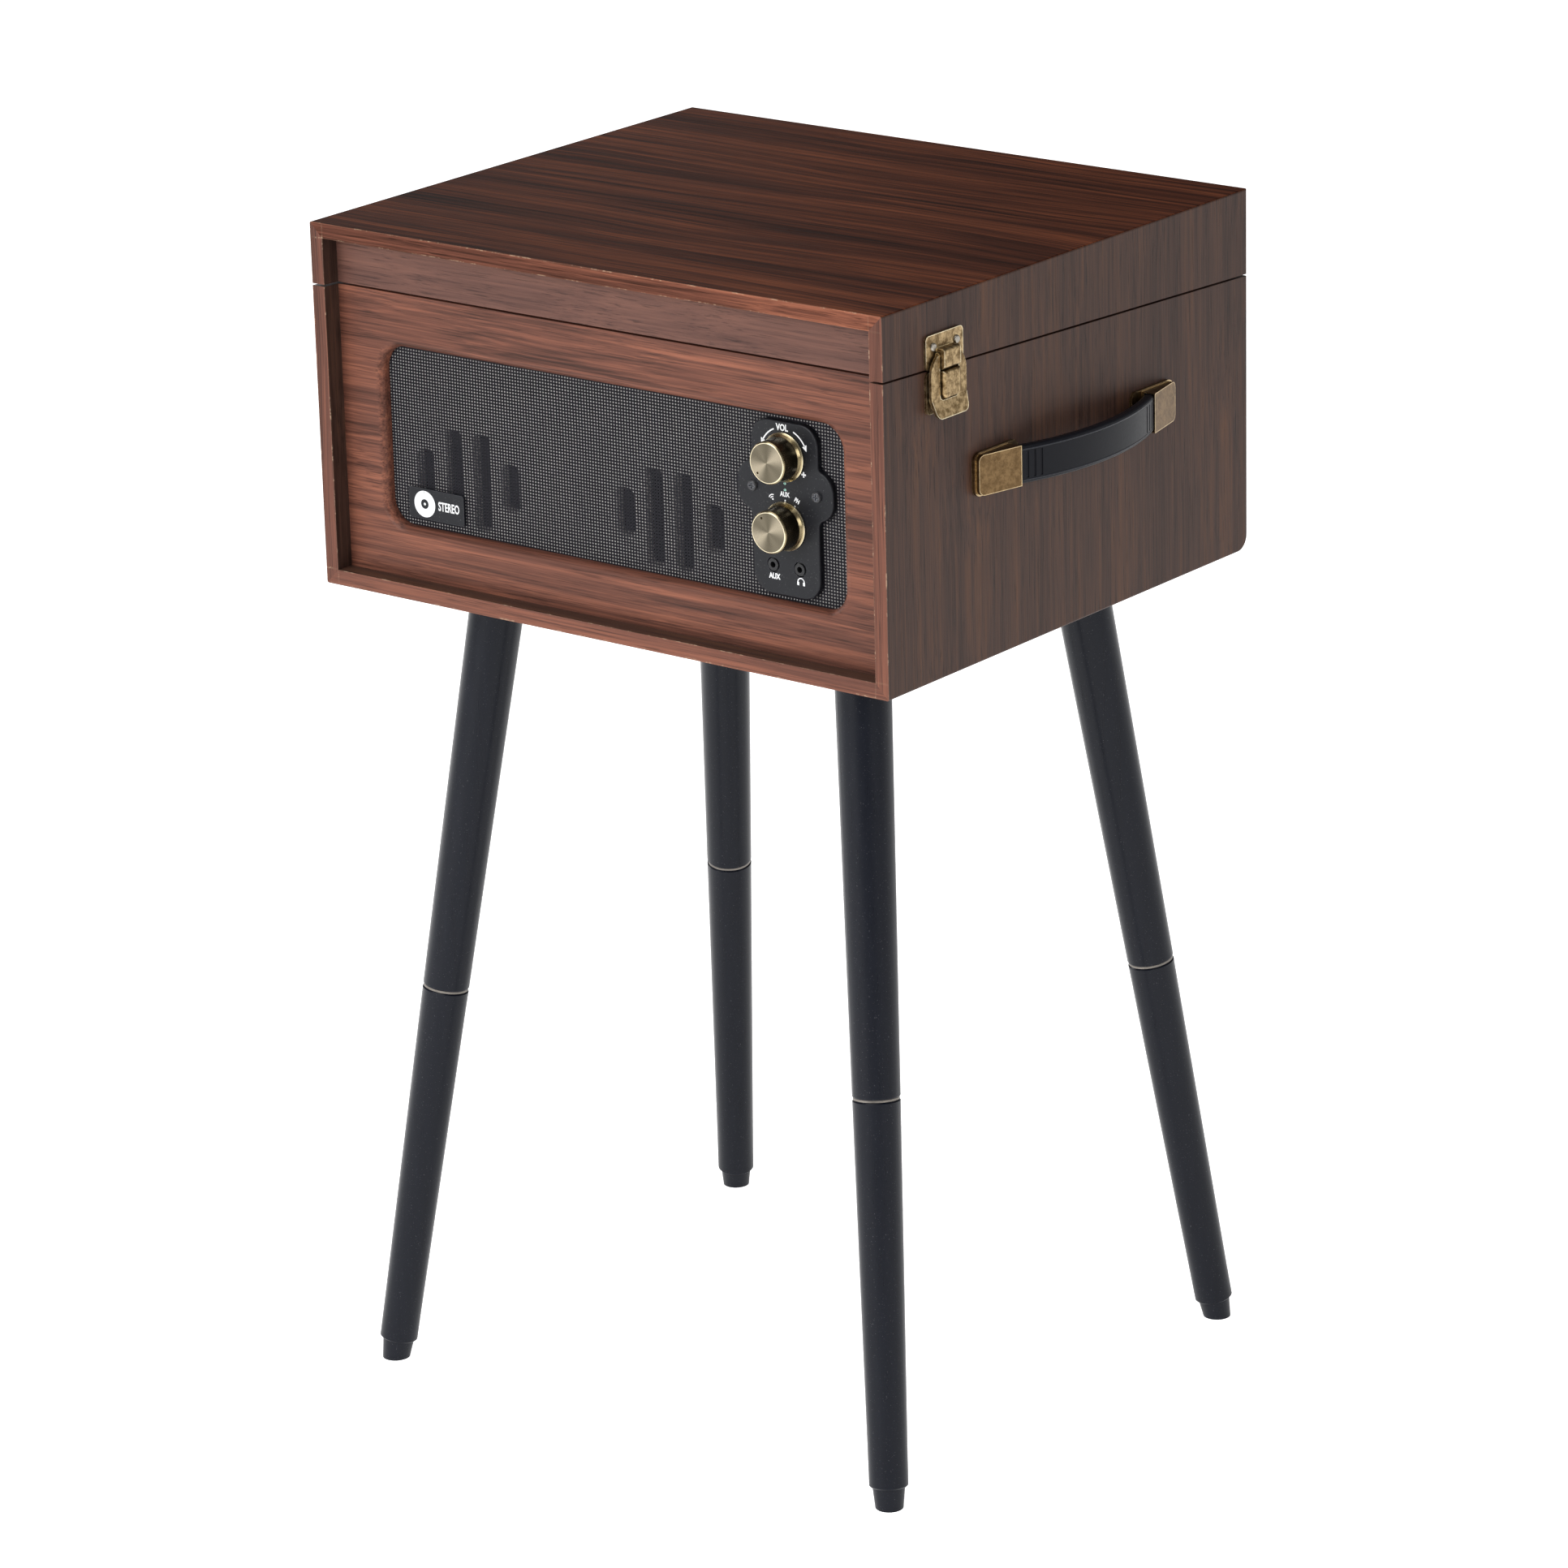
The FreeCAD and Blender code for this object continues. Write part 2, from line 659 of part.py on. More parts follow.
def make_control_plate():
    """Upright plate with one ear on each side for its screws."""
    tall = box(PLATE_X - PLATE_WIDTH / 2, PLATE_X + PLATE_WIDTH / 2, PLATE_FRONT, PANEL_BACK,
               GRILLE_MID - PLATE_HEIGHT / 2, GRILLE_MID + PLATE_HEIGHT / 2)
    ear_z = GRILLE_MID + EAR_LIFT
    ears = box(PLATE_X - EAR_SPAN / 2, PLATE_X + EAR_SPAN / 2, PLATE_FRONT, PANEL_BACK,
               ear_z - EAR_HEIGHT / 2, ear_z + EAR_HEIGHT / 2)
    ears = rounded(ears, V(0, 1, 0), min(PLATE_CORNER, EAR_HEIGHT / 2 - 1))
    plate = joined([rounded(tall, V(0, 1, 0), PLATE_CORNER), ears])
    blends = []
    for edge in edges_along(plate, V(0, 1, 0)):
        bounds = edge.BoundBox
        on_side = abs(abs(bounds.XMin - PLATE_X) - PLATE_WIDTH / 2) < TOUCHING
        at_ear = abs(bounds.ZMin - ear_z) < EAR_HEIGHT / 2 + TOUCHING
        if on_side and at_ear:
            blends.append(edge)
    plate = plate.makeFillet(EAR_BLEND, blends)
    plate = plate.makeFillet(PLATE_EDGE, edges_at(plate, "y", PLATE_FRONT))
    plate = plate.cut(control_holes(PLATE_FRONT - 1, PANEL_BACK + 1, HOLE_CLEARANCE))
    for lift in LIGHT_LIFTS:
        start = V(PLATE_X, PLATE_FRONT - 1, GRILLE_MID + lift)
        plate = plate.cut(rod(LIGHT_RADIUS, PLATE_THICKNESS + 2, start, V(0, 1, 0)))
    return plate


def make_front_jack(x):
    """3.5 mm jack: a ring proud of the plate and a barrel behind it, with a blind bore."""
    z = GRILLE_MID - JACK_DROP
    ring = rod(JACK_OUTER, JACK_PROUD + 1, V(x, PLATE_FRONT - JACK_PROUD, z), V(0, 1, 0))
    barrel = rod(JACK_BODY, JACK_DEPTH, V(x, PLATE_FRONT + 1, z), V(0, 1, 0))
    bore = rod(JACK_BORE, JACK_DEPTH - 1, V(x, PLATE_FRONT - JACK_PROUD, z), V(0, 1, 0))
    return joined([ring, barrel]).cut(bore)


def make_knob(z, pointer_deg):
    """Turned knob with a flared skirt, a bore for its shaft and a small pointer dimple."""
    outline = [
        (0, 0),
        (KNOB_RADIUS - KNOB_LIP, 0),
        (KNOB_RADIUS, KNOB_LIP),
        (KNOB_RADIUS, KNOB_LENGTH - KNOB_SKIRT_HEIGHT),
        (KNOB_SKIRT_RADIUS - KNOB_LIP, KNOB_LENGTH - KNOB_SKIRT_HEIGHT / 2),
        (KNOB_SKIRT_RADIUS, KNOB_LENGTH - KNOB_LIP),
        (KNOB_SKIRT_RADIUS, KNOB_LENGTH),
        (0, KNOB_LENGTH),
    ]
    knob = turned(outline, V(PLATE_X, KNOB_FRONT, z), V(0, 1, 0))
    bore = rod(SHAFT_RADIUS, KNOB_LENGTH, V(PLATE_X, KNOB_FRONT + KNOB_LENGTH / 3, z), V(0, 1, 0))
    angle = math.radians(pointer_deg)
    dimple_x = PLATE_X + POINTER_OFFSET * math.sin(angle)
    dimple_z = z + POINTER_OFFSET * math.cos(angle)
    dimple = rod(POINTER_RADIUS, 2 * KNOB_LIP, V(dimple_x, KNOB_FRONT - KNOB_LIP, dimple_z), V(0, 1, 0))
    return knob.cut(bore).cut(dimple)


def make_shaft(z):
    """Control shaft from inside the knob to inside its potentiometer or switch."""
    start = KNOB_FRONT + KNOB_LENGTH / 3
    end = BAFFLE_BACK + POT_DEPTH / 2
    return rod(SHAFT_RADIUS, end - start, V(PLATE_X, start, z), V(0, 1, 0))


def make_pot(z):
    """Round control body behind the baffle with a running bore for its shaft."""
    body = rod(POT_RADIUS, POT_DEPTH, V(PLATE_X, BAFFLE_BACK, z), V(0, 1, 0))
    bore = rod(SHAFT_RADIUS + RUNNING_FIT, POT_BORE_DEPTH, V(PLATE_X, BAFFLE_BACK, z), V(0, 1, 0))
    return body.cut(bore)


def make_badge():
    z = GRILLE_MID + BADGE_LIFT
    plate = box(BADGE_X - BADGE_WIDTH / 2, BADGE_X + BADGE_WIDTH / 2,
                PANEL_BACK - BADGE_THICKNESS, PANEL_BACK,
                z - BADGE_HEIGHT / 2, z + BADGE_HEIGHT / 2)
    return rounded(plate, V(0, 1, 0), BADGE_THICKNESS)


# ================================================================ screws
def screw(head_centre, into, length=SCREW_LENGTH):
    """Pan-head cross-recess screw whose head sits on a surface and whose shank goes into it."""
    head = rod(SCREW_HEAD, SCREW_HEAD_HEIGHT, head_centre - into * SCREW_HEAD_HEIGHT, into)
    head = head.makeFillet(SCREW_HEAD_ROUND, rim_circles(head, head_centre - into * SCREW_HEAD_HEIGHT))
    shank = rod(SCREW_SHANK, length, head_centre, into)
    side = square_to(into)
    body = joined([head, shank])
    for direction in (side, side.cross(into)):
        other = direction.cross(into)
        across = other * SCREW_SLOT
        along = direction * SCREW_SLOT_LENGTH
        start = head_centre - into * SCREW_HEAD_HEIGHT - along / 2 - across / 2
        outline = [start, start + along, start + along + across, start + across]
        body = body.cut(prism(outline, into * SCREW_SLOT_DEPTH))
    return body


def make_panel_screws():
    """Black screws that hold the control plate, drivers, leg plates, deck and rear plate."""
    screws = [screw(V(x, PLATE_FRONT, z), V(0, 1, 0)) for x, z in plate_screw_places()]
    for x in SPEAKER_CENTRES:
        for sign_x in (-1, 1):
            for sign_z in (-1, 1):
                reach = DRIVER_RADIUS + SCREW_SHANK
                place = V(x + sign_x * reach * math.cos(math.pi / 4), BAFFLE_BACK,
                          SPEAKER_Z + sign_z * reach * math.sin(math.pi / 4))
                screws.append(screw(place, V(0, -1, 0), DRIVER_SCREW_LENGTH))
    for corner_x, corner_y in leg_corners():
        for sign_x in (-1, 1):
            for sign_y in (-1, 1):
                x = corner_x * LEG_TOP_X + sign_x * LEG_PLATE_SCREW
                y = corner_y * LEG_TOP_Y + sign_y * LEG_PLATE_SCREW
                place = V(x, y, CASE_UNDERSIDE - LEG_PLATE_THICKNESS)
                screws.append(screw(place, V(0, 0, 1)))
    for sign_x in (-1, 1):
        for y in (-HALF_D / 2, 0, HALF_D / 2):
            screws.append(screw(V(sign_x * (INNER_X - RAIL_WIDTH / 2), y, DECK_TOP), V(0, 0, -1)))
    for sign_x in (-1, 1):
        place = V(SOCKET_PLATE_X + sign_x * (SOCKET_PLATE_WIDTH / 2 - SOCKET_CUTOUT_MARGIN / 2),
                  HALF_D + SOCKET_PLATE_THICKNESS, SOCKET_Z)
        screws.append(screw(place, V(0, -1, 0)))
    return group(screws)


# ================================================================ deck, platter and drive
def switch_slot():
    length = SWITCH_STEM + 2 * SWITCH_TRAVEL + 2 * HOLE_CLEARANCE
    return box(SWITCH_X - SWITCH_STEM / 2 - HOLE_CLEARANCE, SWITCH_X + SWITCH_STEM / 2 + HOLE_CLEARANCE,
               SWITCH_Y - length / 2, SWITCH_Y + length / 2, DECK_UNDER - 1, DECK_TOP + 1)


def make_deck_plate():
    half = INNER_X - DECK_CLEARANCE
    front = BAFFLE_FRONT + DECK_CLEARANCE
    back = HALF_D - BOARD - DECK_CLEARANCE
    deck = box(-half, half, front, back, DECK_UNDER, DECK_TOP)
    deck = rounded(deck, V(0, 0, 1), BOARD / 2)
    deck = deck.makeFillet(DECK_EDGE, edges_at(deck, "z", DECK_TOP))
    cuts = [
        rod(BEARING_RADIUS + HOLE_CLEARANCE, BIG, V(PLATTER_X, PLATTER_Y, DECK_UNDER - 1), V(0, 0, 1)),
        rod(PULLEY_RADIUS + PULLEY_FLANGE + 1, BIG, V(MOTOR_X, MOTOR_Y, DECK_UNDER - 1), V(0, 0, 1)),
        rod(YOKE_SHAFT + HOLE_CLEARANCE, BIG, V(ARM_PIVOT_X, ARM_PIVOT_Y, DECK_UNDER - 1), V(0, 0, 1)),
        switch_slot(),
    ]
    return deck.cut(group(cuts))


def make_deck_rail(sign_x):
    x0, x1 = sorted((sign_x * INNER_X, sign_x * (INNER_X - RAIL_WIDTH)))
    front = BAFFLE_BACK + RAIL_END_GAP
    back = HALF_D - BOARD - RAIL_END_GAP
    return box(x0, x1, front, back, DECK_UNDER - RAIL_HEIGHT, DECK_UNDER)


def make_bearing_housing():
    """Flanged sleeve under the platter's hub, with a closed thrust end."""
    low = DECK_TOP - BEARING_DEPTH
    flange_low = DECK_UNDER - BEARING_FLANGE_HEIGHT
    sleeve = rod(BEARING_RADIUS, BEARING_DEPTH, V(PLATTER_X, PLATTER_Y, low), V(0, 0, 1))
    flange = rod(BEARING_FLANGE, BEARING_FLANGE_HEIGHT, V(PLATTER_X, PLATTER_Y, flange_low), V(0, 0, 1))
    bore = rod(SPINDLE_SHAFT + RUNNING_FIT, BIG, V(PLATTER_X, PLATTER_Y, low + PLATTER_WEB), V(0, 0, 1))
    return joined([sleeve, flange]).cut(bore)


def make_spindle():
    """Platter shaft that steps down at the mat's top, with a rounded end for the record's hole."""
    low = DECK_TOP - BEARING_DEPTH + PLATTER_WEB
    height = SPINDLE_TOP - low
    shoulder = MAT_TOP - low
    outline = [
        (0, 0),
        (SPINDLE_SHAFT, 0),
        (SPINDLE_SHAFT, shoulder),
        (SPINDLE_RADIUS, shoulder),
        (SPINDLE_RADIUS, height - SPINDLE_TIP),
        (SPINDLE_SHOULDER, height - SPINDLE_TIP / 3),
        (SPINDLE_POINT, height),
        (0, height),
    ]
    return turned(outline, V(PLATTER_X, PLATTER_Y, low), V(0, 0, 1))


def make_platter():
    """Shallow dish turned upside down, with a hub and an inner drive ring."""
    web_low = PLATTER_HEIGHT - PLATTER_WEB
    ring_outer = DRIVE_RING_RADIUS
    ring_inner = DRIVE_RING_RADIUS - DRIVE_RING_WALL
    outline = [
        (SPINDLE_SHAFT, 0), (HUB_RADIUS, 0), (HUB_RADIUS, web_low), (ring_inner, web_low), (ring_inner, 0),
        (ring_outer, 0), (ring_outer, web_low), (PLATTER_RADIUS - PLATTER_WALL, web_low),
        (PLATTER_RADIUS - PLATTER_WALL, 0), (PLATTER_RADIUS, 0),
        (PLATTER_RADIUS, PLATTER_HEIGHT - PLATTER_CHAMFER),
        (PLATTER_RADIUS - PLATTER_CHAMFER, PLATTER_HEIGHT), (SPINDLE_SHAFT, PLATTER_HEIGHT),
    ]
    return turned(outline, V(PLATTER_X, PLATTER_Y, PLATTER_BASE), V(0, 0, 1))


def make_slipmat():
    mat = rod(PLATTER_RADIUS - MAT_MARGIN, MAT_THICKNESS, V(PLATTER_X, PLATTER_Y, PLATTER_TOP), V(0, 0, 1))
    return mat.cut(rod(SPINDLE_SHAFT, BIG, V(PLATTER_X, PLATTER_Y, PLATTER_TOP - 1), V(0, 0, 1)))


def pulley_low():
    """Height of the pulley's underside, inside the platter's hollow."""
    return PLATTER_BASE + (PLATTER_HEIGHT - PLATTER_WEB - PULLEY_HEIGHT) / 2


def make_motor():
    body = rod(MOTOR_RADIUS, MOTOR_DEPTH, V(MOTOR_X, MOTOR_Y, DECK_UNDER - MOTOR_DEPTH), V(0, 0, 1))
    depth = MOTOR_DEPTH / 2
    bore = rod(MOTOR_SHAFT + RUNNING_FIT, depth + 1, V(MOTOR_X, MOTOR_Y, DECK_UNDER - depth), V(0, 0, 1))
    return body.cut(bore)


def make_motor_pulley():
    """Crowned pulley and its shaft, which turn in the motor."""
    low = DECK_UNDER - MOTOR_DEPTH / 2
    base = pulley_low() - low
    outline = [
        (0, 0), (MOTOR_SHAFT, 0), (MOTOR_SHAFT, base), (PULLEY_RADIUS + PULLEY_FLANGE, base),
        (PULLEY_RADIUS, base + PULLEY_FLANGE), (PULLEY_RADIUS, base + PULLEY_HEIGHT - PULLEY_FLANGE),
        (PULLEY_RADIUS + PULLEY_FLANGE, base + PULLEY_HEIGHT), (0, base + PULLEY_HEIGHT),
    ]
    return turned(outline, V(MOTOR_X, MOTOR_Y, low), V(0, 0, 1))


def belt_loop(growth):
    """The outline of an open belt about the drive ring and the pulley, as a solid block."""
    big = DRIVE_RING_RADIUS + BELT_CLEARANCE + growth
    small = PULLEY_RADIUS + BELT_CLEARANCE + growth
    low = pulley_low() + (PULLEY_HEIGHT - BELT_HEIGHT) / 2
    lean = math.asin((big - small) / MOTOR_DISTANCE)
    heading = math.radians(MOTOR_ANGLE_DEG)
    corners = []
    for side in (1, -1):
        normal = heading + side * (math.pi / 2 - lean)
        offset = V(math.cos(normal), math.sin(normal), 0)
        pair = [V(PLATTER_X, PLATTER_Y, low) + offset * big, V(MOTOR_X, MOTOR_Y, low) + offset * small]
        corners += pair if side == 1 else pair[::-1]
    tangents = prism(corners, V(0, 0, BELT_HEIGHT))
    ring = rod(big, BELT_HEIGHT, V(PLATTER_X, PLATTER_Y, low), V(0, 0, 1))
    wheel = rod(small, BELT_HEIGHT, V(MOTOR_X, MOTOR_Y, low), V(0, 0, 1))
    return ring.fuse(tangents).fuse(wheel)


def make_drive_belt():
    return belt_loop(BELT_THICKNESS).cut(belt_loop(0)).removeSplitter()


# ================================================================ tonearm
def make_tonearm_base():
    """Round pedestal with a running bore for the yoke and a bracket for the cue lever."""
    pedestal = rod(BASE_RADIUS, BASE_HEIGHT, V(ARM_PIVOT_X, ARM_PIVOT_Y, DECK_TOP), V(0, 0, 1))
    pedestal = pedestal.makeFillet(ARM_EDGE, edges_at(pedestal, "z", DECK_TOP + BASE_HEIGHT))
    outer = ARM_PIVOT_X + BASE_RADIUS
    cue_y = CUE_Y + CUE_CRANK
    inner = outer - CUE_BRACKET
    front = cue_y - CUE_BRACKET / 2
    bracket = box(inner, outer, front, ARM_PIVOT_Y, DECK_TOP, DECK_TOP + BASE_HEIGHT / 2)
    upright = box(inner, outer, front, cue_y + CUE_BRACKET / 2,
                  DECK_TOP, CUE_BAR_Z + CUE_BRACKET / 2)
    base = joined([pedestal, bracket, upright])
    yoke_bore = rod(YOKE_SHAFT + RUNNING_FIT, BIG, V(ARM_PIVOT_X, ARM_PIVOT_Y, DECK_TOP - 1), V(0, 0, 1))
    cue_start = V(inner - CUE_BRACKET, cue_y, CUE_BAR_Z)
    cue_bore = rod(CUE_BAR_RADIUS + RUNNING_FIT, 2 * BASE_RADIUS, cue_start, V(1, 0, 0))
    return base.cut(yoke_bore).cut(cue_bore)


def make_tonearm_yoke():
    """Turning fork: a disc on a shaft, with one ear on each side of the arm."""
    low = DECK_TOP + BASE_HEIGHT + YOKE_GAP
    disc = rod(YOKE_RADIUS, YOKE_HEIGHT, V(ARM_PIVOT_X, ARM_PIVOT_Y, low), V(0, 0, 1))
    shaft_start = V(ARM_PIVOT_X, ARM_PIVOT_Y, low - YOKE_SHAFT_DEPTH)
    shaft = rod(YOKE_SHAFT, YOKE_SHAFT_DEPTH, shaft_start, V(0, 0, 1))
    parts = [disc, shaft]
    half_ear = YOKE_EAR_WIDTH / 2
    for sign in (-1, 1):
        x0, x1 = sorted((sign * (YOKE_INNER + YOKE_GAP), sign * (YOKE_INNER + YOKE_GAP + YOKE_EAR)))
        ear = box(ARM_PIVOT_X + x0, ARM_PIVOT_X + x1, ARM_PIVOT_Y - half_ear, ARM_PIVOT_Y + half_ear,
                  low, ARM_Z + half_ear)
        tops = [edge for edge in edges_along(ear, V(1, 0, 0)) if edge.BoundBox.ZMin > ARM_Z]
        parts.append(ear.makeFillet(YOKE_EAR_ROUND, tops))
    fork = joined(parts)
    reach = YOKE_INNER + YOKE_GAP + YOKE_EAR + 1
    start = V(ARM_PIVOT_X - reach, ARM_PIVOT_Y, ARM_Z)
    return fork.cut(rod(PIVOT_PIN + RUNNING_FIT, 2 * reach, start, V(1, 0, 0)))


def make_tonearm_tube():
    """Arm tube with its pivot block and cross pin, and a short weighted tail."""
    front = ARM_PIVOT_Y - ARM_LENGTH + HEAD_LENGTH
    tube = rod(ARM_RADIUS, ARM_PIVOT_Y - front, V(ARM_PIVOT_X, front, ARM_Z), V(0, 1, 0))
    block = box(ARM_PIVOT_X - YOKE_INNER, ARM_PIVOT_X + YOKE_INNER,
                ARM_PIVOT_Y - PIVOT_BLOCK, ARM_PIVOT_Y + PIVOT_BLOCK,
                ARM_Z - PIVOT_BLOCK + YOKE_GAP, ARM_Z + PIVOT_BLOCK)
    block = block.makeFillet(ARM_EDGE, block.Edges)
    pin_reach = YOKE_INNER + YOKE_GAP + YOKE_EAR
    pin = rod(PIVOT_PIN, 2 * pin_reach, V(ARM_PIVOT_X - pin_reach, ARM_PIVOT_Y, ARM_Z), V(1, 0, 0))
    tail_start = V(ARM_PIVOT_X, ARM_PIVOT_Y + PIVOT_BLOCK, ARM_Z)
    tail = rod(ARM_TAIL_RADIUS, ARM_TAIL - PIVOT_BLOCK, tail_start, V(0, 1, 0))
    tail = tail.makeFillet(ARM_EDGE, edges_at(tail, "y", ARM_PIVOT_Y + ARM_TAIL))
    return joined([tube, block, pin, tail])


def make_tonearm_head():
    """Shell with the cartridge under it and a small conical stylus."""
    tip_y = ARM_PIVOT_Y - ARM_LENGTH
    back_y = tip_y + HEAD_LENGTH
    top = ARM_Z + HEAD_RISE
    under = top - HEAD_HEIGHT
    taper_y = back_y - HEAD_TAPER
    neck = ARM_RADIUS + HEAD_NECK_WALL
    outline = [
        V(ARM_PIVOT_X - HEAD_WIDTH / 2, tip_y, under),
        V(ARM_PIVOT_X + HEAD_WIDTH / 2, tip_y, under),
        V(ARM_PIVOT_X + HEAD_WIDTH / 2, taper_y, under),
        V(ARM_PIVOT_X + neck, back_y, under),
        V(ARM_PIVOT_X - neck, back_y, under),
        V(ARM_PIVOT_X - HEAD_WIDTH / 2, taper_y, under),
    ]
    shell = prism(outline, V(0, 0, HEAD_HEIGHT))
    shell = shell.makeFillet(ARM_EDGE, edges_at(shell, "z", top))
    stylus_foot = V(ARM_PIVOT_X, tip_y + HEAD_LENGTH / 4, under - STYLUS_DROP)
    stylus = Part.makeCone(STYLUS_TIP_RADIUS, STYLUS_RADIUS, STYLUS_DROP, stylus_foot)
    return joined([shell, stylus])


def make_tonearm_rest():
    """Post with a saddle that is open towards the platter."""
    outer = ARM_PIVOT_X + ARM_RADIUS + REST_CLEARANCE + REST_WALL
    saddle_top = ARM_Z - ARM_RADIUS - REST_CLEARANCE
    front = REST_Y - REST_DEPTH / 2
    back = REST_Y + REST_DEPTH / 2
    post = box(outer - REST_WIDTH, outer, front, back, DECK_TOP, saddle_top)
    wall = box(outer - REST_WALL, outer, front, back, DECK_TOP, ARM_Z + REST_HOOK)
    rest = joined([post, wall])
    return rest.makeFillet(REST_EDGE, edges_along(rest, V(0, 1, 0)))


def make_cue_lever():
    """Cranked bar under the arm, with a finger lever outside the bracket."""
    cue_y = CUE_Y + CUE_CRANK
    bar_end = ARM_PIVOT_X + BASE_RADIUS - CUE_BRACKET - CUE_BAR_RADIUS - HOLE_CLEARANCE
    bar = rod(CUE_BAR_RADIUS, CUE_BAR_LENGTH, V(bar_end - CUE_BAR_LENGTH, CUE_Y, CUE_BAR_Z), V(1, 0, 0))
    crank = box(bar_end - CUE_BAR_RADIUS, bar_end + CUE_BAR_RADIUS,
                CUE_Y - CUE_BAR_RADIUS, cue_y + CUE_BAR_RADIUS,
                CUE_BAR_Z - CUE_BAR_RADIUS, CUE_BAR_Z + CUE_BAR_RADIUS)
    lever_x = ARM_PIVOT_X + BASE_RADIUS + HOLE_CLEARANCE
    axle = rod(CUE_BAR_RADIUS, lever_x + CUE_LEVER_WIDTH - bar_end, V(bar_end, cue_y, CUE_BAR_Z), V(1, 0, 0))
    lever = box(lever_x, lever_x + CUE_LEVER_WIDTH, cue_y - CUE_LEVER_LENGTH, cue_y + CUE_LEVER_WIDTH / 2,
                CUE_BAR_Z - CUE_LEVER_WIDTH / 2, CUE_BAR_Z + CUE_LEVER_WIDTH / 2)
    lever = lever.makeFillet(CUE_LEVER_EDGE, edges_along(lever, V(1, 0, 0)))
    return joined([bar, crank, axle, lever])


def make_speed_switch():
    """Finger cap on a stem that slides in the deck's slot."""
    stem = box(SWITCH_X - SWITCH_STEM / 2, SWITCH_X + SWITCH_STEM / 2,
               SWITCH_Y - SWITCH_STEM / 2, SWITCH_Y + SWITCH_STEM / 2,
               DECK_UNDER - SWITCH_STEM, DECK_TOP + SWITCH_STEM)
    low = DECK_TOP + HOLE_CLEARANCE
    cap = box(SWITCH_X - SWITCH_WIDTH / 2, SWITCH_X + SWITCH_WIDTH / 2,
              SWITCH_Y - SWITCH_LENGTH / 2, SWITCH_Y + SWITCH_LENGTH / 2, low, low + SWITCH_HEIGHT)
    cap = cap.makeFillet(SWITCH_EDGE, edges_at(cap, "z", low + SWITCH_HEIGHT))
    return joined([stem, cap])


# ================================================================ electronics and rear sockets
def make_amplifier_board():
    """Circuit board on four stand-offs, with the fins of a heat sink and a row of capacitors."""
    low = INNER_BOTTOM + BOARD_STANDOFF
    top = low + BOARD_THICKNESS
    board = box(BOARD_X - BOARD_LENGTH / 2, BOARD_X + BOARD_LENGTH / 2,
                BOARD_Y - BOARD_WIDTH / 2, BOARD_Y + BOARD_WIDTH / 2, low, top)
    parts = [board]
    for sign_x in (-1, 1):
        for sign_y in (-1, 1):
            x = BOARD_X + sign_x * (BOARD_LENGTH / 2 - STANDOFF_INSET)
            y = BOARD_Y + sign_y * (BOARD_WIDTH / 2 - STANDOFF_INSET)
            parts.append(rod(STANDOFF_RADIUS, BOARD_STANDOFF, V(x, y, INNER_BOTTOM), V(0, 0, 1)))
    for index in range(SINK_FINS):
        x = BOARD_X - BOARD_LENGTH / 4 + index * SINK_PITCH
        parts.append(box(x, x + SINK_FIN, BOARD_Y, BOARD_Y + BOARD_WIDTH / 3, top, top + PART_HEIGHT))
    for index in (-1, 0, 1):
        place = V(BOARD_X + BOARD_LENGTH / 4, BOARD_Y + index * CAPACITOR_PITCH, top)
        parts.append(rod(CAPACITOR_RADIUS, PART_HEIGHT, place, V(0, 0, 1)))
    return joined(parts)


def phono_places():
    return [SOCKET_PLATE_X + PHONO_X - PHONO_PITCH / 2, SOCKET_PLATE_X + PHONO_X + PHONO_PITCH / 2]


def make_socket_plate():
    """Plate on the back board that carries the phono sockets and the power inlet."""
    plate = box(SOCKET_PLATE_X - SOCKET_PLATE_WIDTH / 2, SOCKET_PLATE_X + SOCKET_PLATE_WIDTH / 2,
                HALF_D, HALF_D + SOCKET_PLATE_THICKNESS,
                SOCKET_Z - SOCKET_PLATE_HEIGHT / 2, SOCKET_Z + SOCKET_PLATE_HEIGHT / 2)
    plate = rounded(plate, V(0, 1, 0), SOCKET_PLATE_CORNER)
    depth = 2 * SOCKET_PLATE_THICKNESS
    for x in phono_places():
        plate = plate.cut(rod(PHONO_NECK, depth, V(x, HALF_D, SOCKET_Z), V(0, 1, 0)))
    return plate.cut(rod(INLET_RADIUS, depth, V(SOCKET_PLATE_X + INLET_X, HALF_D, SOCKET_Z), V(0, 1, 0)))


def make_phono_socket(x):
    """Phono socket: a barrel standing out of the plate, open to its contact, and a body inside."""
    face = HALF_D + SOCKET_PLATE_THICKNESS
    neck = rod(PHONO_NECK, SOCKET_PLATE_THICKNESS, V(x, HALF_D, SOCKET_Z), V(0, 1, 0))
    barrel = rod(PHONO_RADIUS, PHONO_LENGTH, V(x, face, SOCKET_Z), V(0, 1, 0))
    body = box(x - PHONO_PITCH / 2 + 1, x + PHONO_PITCH / 2 - 1, HALF_D - INNER_BODY_DEPTH, HALF_D,
               SOCKET_Z - PHONO_RADIUS - 1, SOCKET_Z + PHONO_RADIUS + 1)
    bore = rod(PHONO_BORE, PHONO_LENGTH, V(x, face, SOCKET_Z), V(0, 1, 0))
    return joined([body, neck, barrel]).cut(bore)


